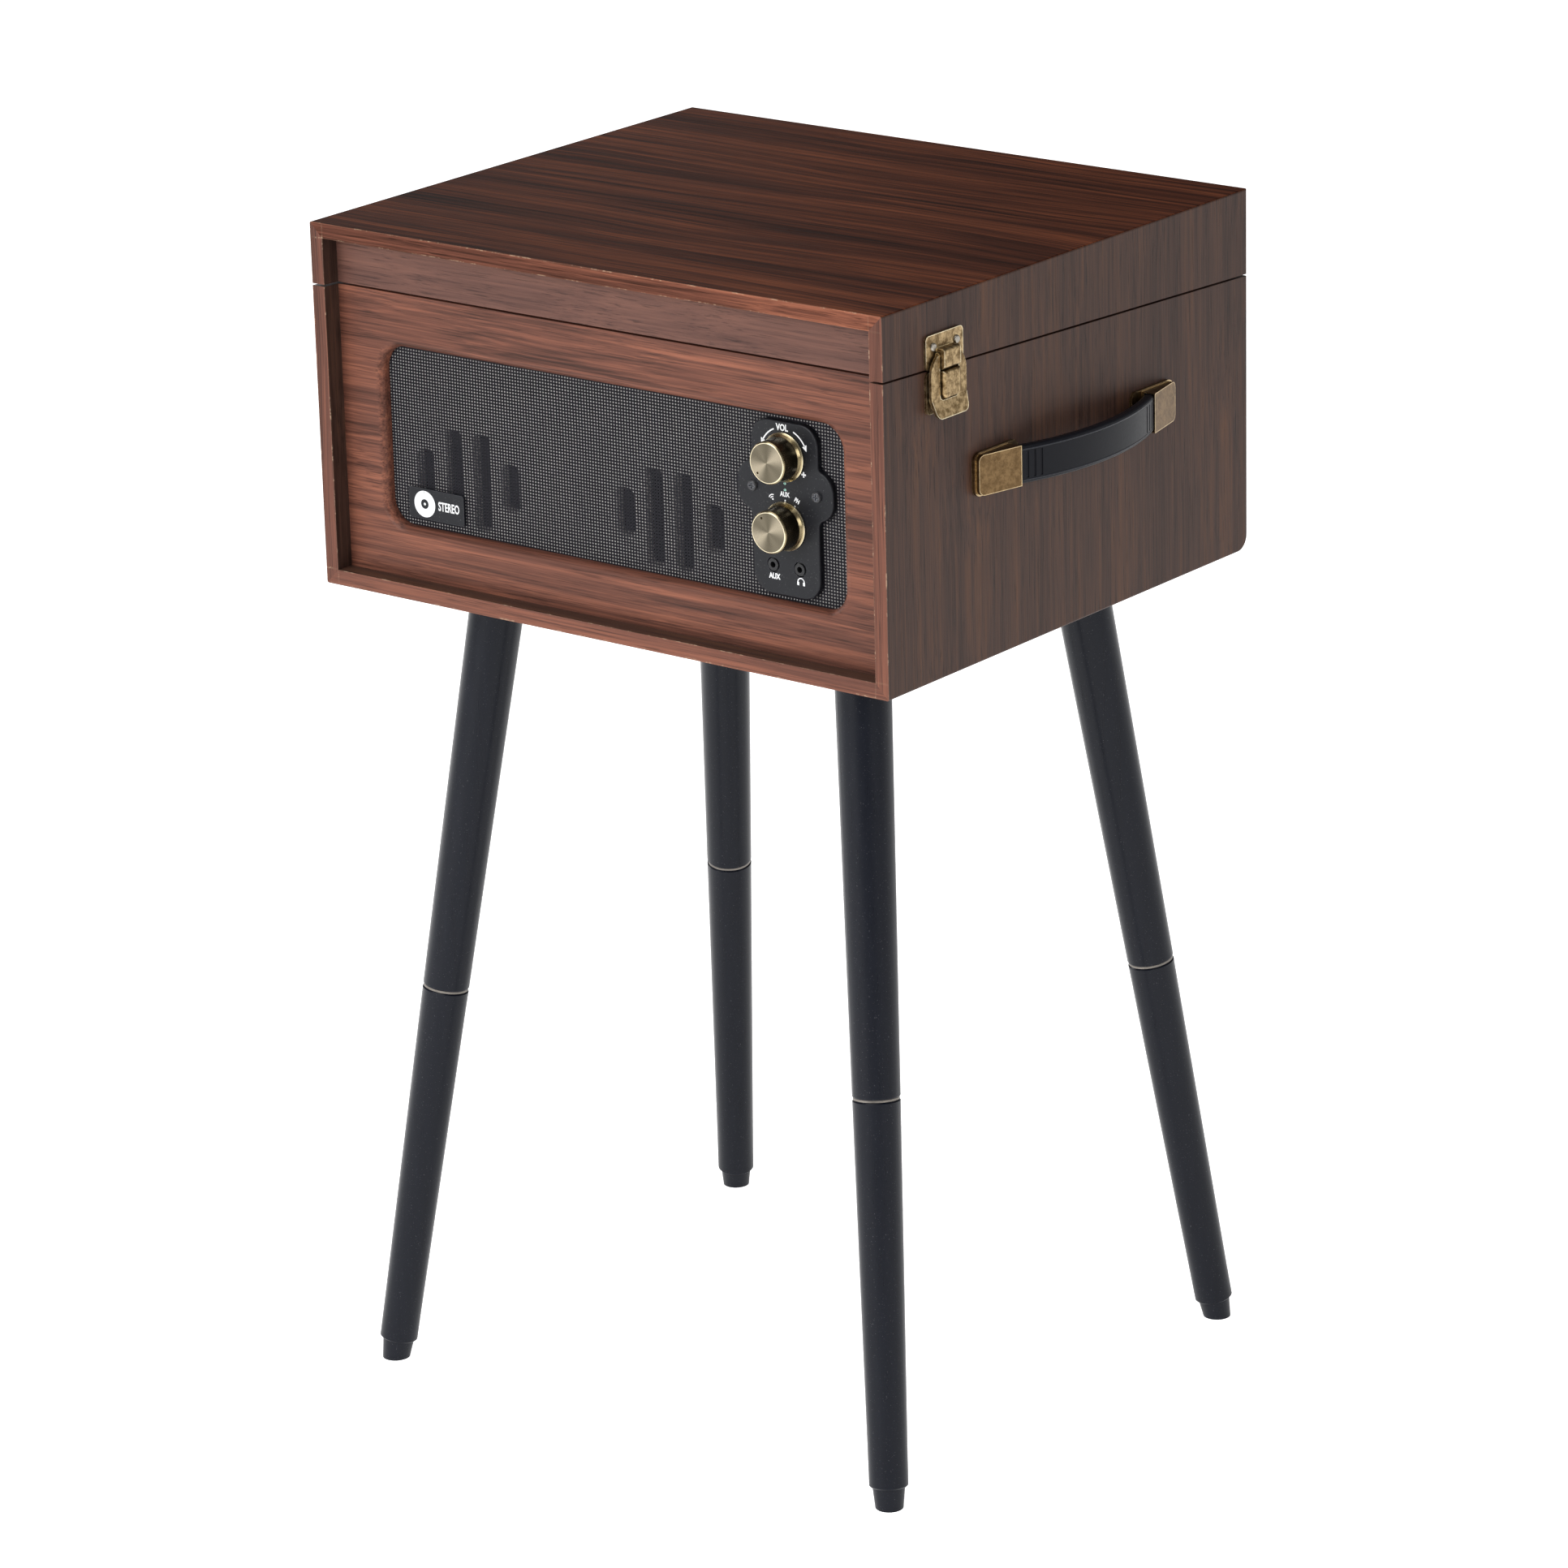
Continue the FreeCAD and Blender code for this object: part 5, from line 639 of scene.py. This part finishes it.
# %% Knob finish
def knob_finish(name, node):
    low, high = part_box(node)
    centre = (low + high) / 2
    radius = (high.x - low.x) / 2
    depth = high.y - low.y
    front_verts = [v.co for v in nodes[node].data.vertices if v.co.y < low.y + 0.05 * MM]
    face_radius = max(math.hypot(co.x - centre.x, co.z - centre.z) for co in front_verts)
    finish = Finish(name)
    place = finish.place()
    x, y, z = finish.split(place)
    out = ((x - centre.x) * (x - centre.x) + (z - centre.z) * (z - centre.z)) ** 0.5
    angle = (z - centre.z).maths("ARCTAN2", x - centre.x)
    behind = (y - low.y) / depth
    facing = -finish.split(finish.node("NewGeometry", out=1))[1]
    # Bright and dark wedges by angle round the axis: painted highlights where the rings would throw light.
    painted_wedge_highlight = (angle * 2.0 + 0.5).sine() * 0.5 + 0.5
    painted_thin_wedge_highlight = (angle * 4.0 - 0.7).sine() * 0.5 + 0.5
    rings = (out * (2 * math.pi / (0.22 * MM))).sine()
    face = finish.mix(painted_wedge_highlight * 0.65 + painted_thin_wedge_highlight * 0.35, (0.036, 0.031, 0.020), (0.26, 0.225, 0.165))
    # The waist is lighter toward the front and darker behind: a painted reflection.
    waist = finish.mix(finish.step(behind, 0.10, 0.55), (0.22, 0.175, 0.100), (0.030, 0.023, 0.014))
    skirt = finish.mix(finish.noise(place, 200.0), (0.28, 0.225, 0.120), (0.44, 0.36, 0.21))
    side = finish.mix(finish.step(out, radius * 0.86, radius * 0.90), waist, skirt)
    colour = finish.mix(finish.step(facing, 0.85, 0.97) * (1 - finish.step(behind, 0.02, 0.10)), side, face)
    # Bright lines at the face edge and the skirt edge: painted highlights.
    rim = line_at(finish, out, face_radius, 0.45 * MM).at_least(line_at(finish, out, radius, 0.35 * MM))
    colour = finish.mix(rim * 0.8, colour, (0.80, 0.71, 0.50))
    smudge = finish.noise(place, 160.0, 3.0, 0.6)
    roughness = 0.26 + (smudge - 0.5) * 0.14
    flat = finish.step(facing, 0.85, 0.97)
    return finish.surface(colour, roughness, rings * flat, 0.000006, 0.4, metallic=1.0)


dress(knob_finish("volume_champagne", "volume_knob"), "volume_knob")
dress(knob_finish("selector_champagne", "selector_knob"), "selector_knob")
print("knobs dressed: 2")

# %% [markdown]
# ## Grille cloth
#
# The cloth is a stiff open net: small square holes in straight rows, with the board behind showing through
# as pale dots, and nothing but dark where the sound slots are.  So the net is a real sheet whose finish
# has holes in its Alpha, and the pale dots come from the board, not from paint.  The dark dots between the
# holes, where the threads cross, are painted shadows.  The sheet is a copy of the CAD cloth's front face,
# which already goes round the controls.

# %% Cloth sheet
def merged_copy(node):
    """A bmesh of a CAD node with its loose triangles joined."""
    copy = bmesh.new()
    copy.from_mesh(nodes[node].data)
    bmesh.ops.remove_doubles(copy, verts=copy.verts, dist=0.001 * MM)
    return copy


def piece(name, shape, material):
    """Turn a bmesh into a piece that rides on the case."""
    mesh = bpy.data.meshes.new(name)
    shape.to_mesh(mesh)
    shape.free()
    mesh.materials.append(material)
    made = bpy.data.objects.new(name, mesh)
    bpy.context.scene.collection.objects.link(made)
    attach(made, CABINET)
    return made


NET_SET_BACK = 0.25 * MM
net = merged_copy("grille_cloth")
behind_front = [face for face in net.faces if face.normal.y > -0.9]
bmesh.ops.delete(net, geom=behind_front, context="FACES")
bmesh.ops.translate(net, vec=(0, NET_SET_BACK, 0), verts=net.verts)

# %% Net finish
MESH_ACROSS = 2.05 * MM
MESH_UP = 1.85 * MM
HOLE_SHARE = 0.225


def net_finish():
    finish = Finish("grille_net")
    place = finish.place()
    x, y, z = finish.split(place)
    drift_x = finish.noise(place, 14.0, 1.0)
    drift_z = finish.noise(finish.join(z, x, y), 11.0, 1.0)
    column = (x + (drift_x - 0.5) * 1.2 * MM) / MESH_ACROSS
    row = (z + (drift_z - 0.5) * 1.2 * MM) / MESH_UP
    across = abs(column.part() - 0.5)
    upward = abs(row.part() - 0.5)
    hole = 1 - finish.step((across ** 4.0 + upward ** 4.0) ** 0.25, HOLE_SHARE - 0.03, HOLE_SHARE + 0.03)
    knot_across = abs((column + 0.5).part() - 0.5)
    knot_upward = abs((row + 0.5).part() - 0.5)
    # Dark dots where the threads cross: painted shadows.
    painted_crossing_shadows = 1 - finish.step((knot_across * knot_across + knot_upward * knot_upward) ** 0.5, 0.14, 0.34)
    lint = finish.noise(place, 2600.0, 3.0, 0.7)
    thread = finish.mix(painted_crossing_shadows, (0.012, 0.0115, 0.015), (0.0025, 0.0025, 0.0035))
    colour = finish.shade(thread, lint * 0.7 + 0.65)
    relief = (across * 2.0).at_least(upward * 2.0) + lint * 0.4
    return finish.surface(colour, 0.66 + lint * 0.2, relief, 0.00025, 0.7, alpha=1 - hole,
                          specular_ior_level=0.12)


cloth = piece("grille_net", net, net_finish())
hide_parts("grille_cloth")

# %% [markdown]
# Behind the cloth is a pale raw fibre board, and a darker one makes the rails under the deck.  Both are
# pressed from wood fibre: a flat colour with flecks, and a fuzzy, matt surface.

# %% Fibre board, cones and circuit board
def fibre_board(name, low, high):
    finish = Finish(name)
    place = finish.place()
    flecks = finish.noise(place, 620.0, 5.0, 0.75)
    clouds = finish.noise(place, 22.0, 3.0)
    colour = finish.mix(flecks * 0.7 + clouds * 0.3, low, high)
    colour = finish.shade(colour, 1 - finish.step(flecks, 0.62, 0.72) * 0.35)
    return finish.surface(colour, 0.86 + (flecks - 0.5) * 0.1, flecks, 0.00015, 0.6, specular_ior_level=0.2)


def cone_paper():
    finish = Finish("cone_paper")
    place = finish.place()
    pulp = finish.noise(place, 900.0, 4.0, 0.7)
    clouds = finish.noise(place, 80.0, 2.0)
    colour = finish.mix(pulp, (0.006, 0.006, 0.007), (0.018, 0.018, 0.020))
    return finish.surface(colour, 0.80 + (clouds - 0.5) * 0.15, pulp, 0.00020, 0.7)


def circuit_laminate():
    """Green lacquer over copper tracks that run in steps."""
    finish = Finish("circuit_laminate")
    place = finish.place()
    x, y, z = finish.split(place)
    wander = finish.noise(place, 60.0, 1.0)
    tracks = ((x * 420.0 + wander * 6.0).part() - 0.5)
    copper = finish.step(abs(tracks), 0.34, 0.38)
    glass = finish.noise(finish.join(x * 2400.0, y * 300.0, z * 2400.0), 1.0, 2.0)
    colour = finish.mix(copper, (0.006, 0.060, 0.026), (0.030, 0.140, 0.050))
    colour = finish.shade(colour, glass * 0.5 + 0.75)
    return finish.surface(colour, 0.32 + glass * 0.15, copper + glass * 0.2, 0.00004, 0.6)


dress(fibre_board("baffle_board", (0.62, 0.585, 0.555), (0.86, 0.83, 0.80)), "speaker_baffle")
dress(fibre_board("rail_board", (0.30, 0.205, 0.125), (0.52, 0.385, 0.250)), "deck_rails")
dress(cone_paper(), "speaker_cones")
dress(circuit_laminate(), "amplifier_board")
print("board, cones and circuit dressed")

# %% [markdown]
# ## Platter, mat and tonearm
#
# The platter is cast and then turned, so its rings are round its own axis.  The mat is pressed felt: dark,
# without a gloss, with a nap of short fibres that lie in all directions.

# %% Platter, felt and arm tube
PLATTER_LOW, PLATTER_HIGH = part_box("platter")
PLATTER_CENTRE = (PLATTER_LOW + PLATTER_HIGH) / 2
MAT_LABEL_RADIUS = 50 * MM
MAT_RIM_RADIUS = (PLATTER_HIGH.x - PLATTER_LOW.x) / 2 - 8 * MM
MAT_GROOVE = 1.2 * MM


def platter_finish():
    finish = Finish("platter_metal")
    place = finish.place()
    x, y, z = finish.split(place)
    dx, dy = x - PLATTER_CENTRE.x, y - PLATTER_CENTRE.y
    out = (dx * dx + dy * dy) ** 0.5
    rings = (out * (2 * math.pi / (0.5 * MM))).sine() + (z * (2 * math.pi / (0.4 * MM))).sine()
    haze = finish.noise(place, 45.0, 4.0, 0.6)
    grit = finish.noise(place, 1300.0, 2.0)
    colour = finish.mix(haze, (0.46, 0.46, 0.47), (0.66, 0.66, 0.67))
    colour = finish.shade(colour, grit * 0.2 + 0.9)
    relief = rings * 0.5 + grit * 0.3
    return finish.surface(colour, 0.34 + (haze - 0.5) * 0.2, relief, 0.00003, 0.6, metallic=1.0)


def felt():
    finish = Finish("mat_felt")
    place = finish.place()
    nap = finish.noise(place, 1400.0, 5.0, 0.8, 1.5)
    tufts = finish.noise(place, 160.0, 3.0, 0.6, 0.8)
    colour = finish.mix(nap, (0.008, 0.008, 0.009), (0.040, 0.040, 0.043))
    colour = finish.shade(colour, tufts * 0.6 + 0.7)
    lint = finish.step(finish.noise(place, 2100.0, 1.0), 0.72, 0.78)
    colour = finish.mix(lint * 0.5, colour, (0.28, 0.28, 0.29))
    x, y, _ = finish.split(place)
    dx, dy = x - PLATTER_CENTRE.x, y - PLATTER_CENTRE.y
    out = (dx * dx + dy * dy) ** 0.5
    label_groove = line_at(finish, out, MAT_LABEL_RADIUS, MAT_GROOVE)
    groove = label_groove.at_least(line_at(finish, out, MAT_RIM_RADIUS, MAT_GROOVE))
    # The grooves are also painted darker: painted shade in them, on top of the cut in the relief.
    colour = finish.mix(groove * 0.7, colour, (0.004, 0.004, 0.004))
    relief = nap + tufts * 0.5 - groove * 1.5
    return finish.surface(colour, 0.92 + (nap - 0.5) * 0.1, relief, 0.0004, 0.8, sheen_weight=0.25,
                          specular_ior_level=0.1)


dress(platter_finish(), "platter")
dress(felt(), "slipmat")
dress(turned("arm_satin", (0.52, 0.52, 0.53), (0.74, 0.74, 0.75), "y", 0.30, 0.9 * MM), "tonearm_tube")
print("platter, mat and arm dressed")

# %% [markdown]
# ## Printed labels
#
# The words and signs on the control plate are white ink, silk-screened.  Ink has a real thickness, a few
# hundredths of a millimetre, so each label is a flat text or outline made into a mesh and given that
# thickness.  They are drawn lying in the XY plane, stood up, and then moved onto the plate.

# %% Ink
def ink(name, low, high):
    finish = Finish(name)
    place = finish.place()
    thin = finish.noise(place, 1500.0, 3.0, 0.6)
    clouds = finish.noise(place, 120.0, 2.0)
    colour = finish.mix(thin * 0.6 + clouds * 0.4, low, high)
    return finish.surface(colour, 0.50 + (thin - 0.5) * 0.2, thin, 0.00002, 0.5)


white_ink = ink("white_ink", (0.52, 0.53, 0.54), (0.74, 0.74, 0.75))
PLATE_LOW, PLATE_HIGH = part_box("control_plate")
PLATE_FRONT = PLATE_LOW.y
PLATE_CENTRE = (PLATE_LOW + PLATE_HIGH) / 2
INK_THICKNESS = 0.06 * MM
STAND_UP = Matrix.Rotation(math.radians(90), 4, "X")
print("plate front at y =", round(PLATE_FRONT, 4))

# %% Words
def word_shape(words, size, across, upward, tilt=0.0, stretch=0.82):
    """Letters as a bmesh in the plane of the plate, centred on a point."""
    text = bpy.data.curves.new("words", "FONT")
    text.body = words
    text.align_x, text.align_y = "CENTER", "CENTER"
    text.size = size * MM
    text.offset = 0.16 * MM
    text.extrude = INK_THICKNESS / 2
    text.resolution_u = 3
    carrier = bpy.data.objects.new("words", text)
    mesh = bpy.data.meshes.new_from_object(carrier)
    shape = bmesh.new()
    shape.from_mesh(mesh)
    turn = Matrix.Rotation(math.radians(tilt), 4, "Z") @ Matrix.Diagonal((stretch, 1, 1, 1))
    bmesh.ops.transform(shape, matrix=turn, verts=shape.verts)
    bmesh.ops.translate(shape, vec=(across * MM, upward * MM, 0), verts=shape.verts)
    for made in (carrier, mesh, text):
        bpy.data.batch_remove([made])
    return shape


def outline_shape(points):
    """A flat shape with straight sides, in the plane of the plate, given ink's thickness."""
    shape = bmesh.new()
    corners = [shape.verts.new((x * MM, y * MM, -INK_THICKNESS / 2)) for x, y in points]
    face = shape.faces.new(corners)
    up_side = bmesh.ops.extrude_face_region(shape, geom=[face])["geom"]
    lifted = [part for part in up_side if isinstance(part, bmesh.types.BMVert)]
    bmesh.ops.translate(shape, vec=(0, 0, INK_THICKNESS), verts=lifted)
    bmesh.ops.recalc_face_normals(shape, faces=shape.faces)
    return shape


def band_points(radius, width, start, end, across, upward, steps=14):
    """Corners of a bent band between two angles, measured clockwise from straight up."""
    angles = [math.radians(start + (end - start) * step / steps) for step in range(steps + 1)]
    outer = [(across + radius * math.sin(a), upward + radius * math.cos(a)) for a in angles]
    within = radius - width
    inner = [(across + within * math.sin(a), upward + within * math.cos(a)) for a in angles]
    return outer + inner[::-1]


print("label makers ready")

# %% [markdown]
# The arrows round the volume knob are two bent bands, each with a triangle at its end.  A plus and a minus
# stand beside the knob.  The three sources fan round the selector: two have names, and the wireless source
# has a plain sign of a dot and two waves.  One socket has its name, and the other a sign of headphones.

# %% Labels on the plate
def rise_of(node):
    """How far a node's middle is above the middle of the plate, in millimetres."""
    low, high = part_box(node)
    return (low.z + high.z) / 2 / MM - PLATE_CENTRE.z / MM


VOLUME_UP, SELECTOR_UP = rise_of("volume_knob"), rise_of("selector_knob")
ARROW_RADIUS = 16.9
shapes = [
    word_shape("VOL", 5.2, -1.0, VOLUME_UP + 16.4),
    word_shape("AUX", 3.7, -0.2, SELECTOR_UP + 18.0),
    word_shape("PH", 3.5, 8.2, SELECTOR_UP + 15.6, -28),
    word_shape("AUX", 4.4, -8.7, -39.7),
]
for side in (-1, 1):
    shapes.append(outline_shape(band_points(ARROW_RADIUS, 0.8, side * 24, side * 62, 0, VOLUME_UP)))
    tip = math.radians(side * 72)
    root = math.radians(side * 60)
    middle = ARROW_RADIUS - 0.4
    shapes.append(outline_shape([
        (middle * math.sin(tip), VOLUME_UP + middle * math.cos(tip)),
        ((middle + 1.7) * math.sin(root), VOLUME_UP + (middle + 1.7) * math.cos(root)),
        ((middle - 1.7) * math.sin(root), VOLUME_UP + (middle - 1.7) * math.cos(root)),
    ]))
PLUS_ACROSS, PLUS_DROP, PLUS_HALF, PLUS_LINE = 13.3, 8.2, 1.6, 0.5
for side in (-1, 1):
    middle = side * PLUS_ACROSS
    low, high = VOLUME_UP - PLUS_DROP - PLUS_LINE, VOLUME_UP - PLUS_DROP + PLUS_LINE
    shapes.append(outline_shape([(middle - PLUS_HALF, low), (middle + PLUS_HALF, low),
                                 (middle + PLUS_HALF, high), (middle - PLUS_HALF, high)]))
for step in (-1, 1):
    root, tip = (VOLUME_UP - PLUS_DROP + step * reach for reach in (PLUS_LINE, PLUS_HALF))
    start, end = min(root, tip), max(root, tip)
    shapes.append(outline_shape([(PLUS_ACROSS - PLUS_LINE, start), (PLUS_ACROSS + PLUS_LINE, start),
                                 (PLUS_ACROSS + PLUS_LINE, end), (PLUS_ACROSS - PLUS_LINE, end)]))
print("labels so far:", len(shapes))

# %% Signs
def dot_points(across, upward, radius, count=12):
    turns = [2 * math.pi * index / count for index in range(count)]
    return [(across + radius * math.cos(a), upward + radius * math.sin(a)) for a in turns]


WIRELESS = (-8.6, SELECTOR_UP + 14.2)
shapes.append(outline_shape(dot_points(*WIRELESS, 0.55)))
for radius in (1.7, 2.9):
    shapes.append(outline_shape(band_points(radius, 0.55, -75, 15, *WIRELESS)))
for across, upward in ((-6.6, 11.9), (0.0, 14.6), (6.7, 12.2)):
    shapes.append(outline_shape(dot_points(across, SELECTOR_UP + upward, 0.5)))
PHONES = (9.7, -40.2)
shapes.append(outline_shape(band_points(2.5, 0.6, -90, 90, *PHONES)))
for side in (-1, 1):
    ear = PHONES[0] + side * 2.0
    shapes.append(outline_shape([(ear - 0.7, PHONES[1] - 1.9), (ear + 0.7, PHONES[1] - 1.9),
                                 (ear + 0.7, PHONES[1]), (ear - 0.7, PHONES[1])]))


def joined_shapes(parts):
    """Several bmeshes as one."""
    whole = bmesh.new()
    for part in parts:
        mesh = bpy.data.meshes.new("part")
        part.to_mesh(mesh)
        part.free()
        whole.from_mesh(mesh)
        bpy.data.meshes.remove(mesh)
    return whole


def print_on(name, parts, centre, front, material):
    """Stand flat shapes up on a plate and make them one piece."""
    whole = joined_shapes(parts)
    bmesh.ops.transform(whole, matrix=STAND_UP, verts=whole.verts)
    bmesh.ops.translate(whole, vec=(centre.x, front - INK_THICKNESS / 2, centre.z), verts=whole.verts)
    return piece(name, whole, material)


labels = print_on("control_labels", shapes, PLATE_CENTRE, PLATE_FRONT, white_ink)
print("label faces:", len(labels.data.polygons))

# %% [markdown]
# ## Status lights and badge
#
# Two small lights sit in drilled holes between the knobs.  Each is a domed lens, dark in the middle and
# paler toward its left and right, turned from a short outline by a spin.  The badge carries a plain record
# with its label and hole, and a word for the kind of sound.

# %% Status lights
LIGHT_RADIUS = 0.88 * MM
LIGHT_RISES = (14.8 * MM, 11.2 * MM)
LENS_PROUD = 0.15 * MM
LENS_STEPS = 20


def lens_shape(centre):
    """A domed lens whose axis is along Y."""
    shape = bmesh.new()
    front = PLATE_FRONT - LENS_PROUD
    outline = [(0, front), (0.45, front + 0.03 * MM), (0.85, front + 0.14 * MM), (1.0, front + 0.6 * MM),
               (1.0, PLATE_HIGH.y), (0, PLATE_HIGH.y)]
    verts = [shape.verts.new((centre.x + share * LIGHT_RADIUS, y, centre.z)) for share, y in outline]
    edges = [shape.edges.new(pair) for pair in zip(verts, verts[1:])]
    bmesh.ops.spin(shape, geom=verts + edges, cent=centre, axis=(0, 1, 0), dvec=(0, 0, 0),
                   angle=2 * math.pi, steps=LENS_STEPS, use_merge=True, use_duplicate=False)
    bmesh.ops.remove_doubles(shape, verts=shape.verts, dist=0.001 * MM)
    bmesh.ops.recalc_face_normals(shape, faces=shape.faces)
    return shape


def light_finish():
    finish = Finish("status_light")
    place = finish.place()
    grain_noise = finish.noise(place, 2400.0, 2.0)
    out = abs(finish.split(place)[0] - PLATE_CENTRE.x) / LIGHT_RADIUS
    glow = finish.mix(finish.step(out, 0.2, 0.7), (0.06, 0.20, 0.16), (0.45, 0.75, 0.62))
    colour = finish.shade(glow, grain_noise * 0.5 + 0.75)
    return finish.surface(colour, 0.18 + grain_noise * 0.1, grain_noise, 0.00001, 0.5)


lenses = [lens_shape(Vector((PLATE_CENTRE.x, PLATE_FRONT, PLATE_CENTRE.z + rise))) for rise in LIGHT_RISES]
piece("status_lights", joined_shapes(lenses), light_finish())
print("status lights:", len(LIGHT_RISES))

# %% Badge
BADGE_LOW, BADGE_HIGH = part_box("badge_plate")
BADGE_CENTRE = (BADGE_LOW + BADGE_HIGH) / 2
DISC_ACROSS = -8.9
DISC_RADIUS = 7.9
badge_parts = [
    outline_shape(band_points(DISC_RADIUS, DISC_RADIUS - 2.9, 0, 358, DISC_ACROSS, 0, 48)),
    outline_shape(dot_points(DISC_ACROSS, 0, 0.8, 16)),
    word_shape("STEREO", 7.4, 9.4, 0, 0, 0.62),
]
print_on("badge_print", badge_parts, BADGE_CENTRE, BADGE_LOW.y, white_ink)
print("badge:", round((BADGE_HIGH.x - BADGE_LOW.x) / MM, 1), "mm wide")

# %% [markdown]
# ## Size of the finished pieces
#
# The box round the finished pieces, without the floor, is printed.

# %% Sizes
bpy.context.view_layer.update()
low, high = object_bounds()
print("box of the visual model:", [round(v, 4) for v in (*low, *high)])
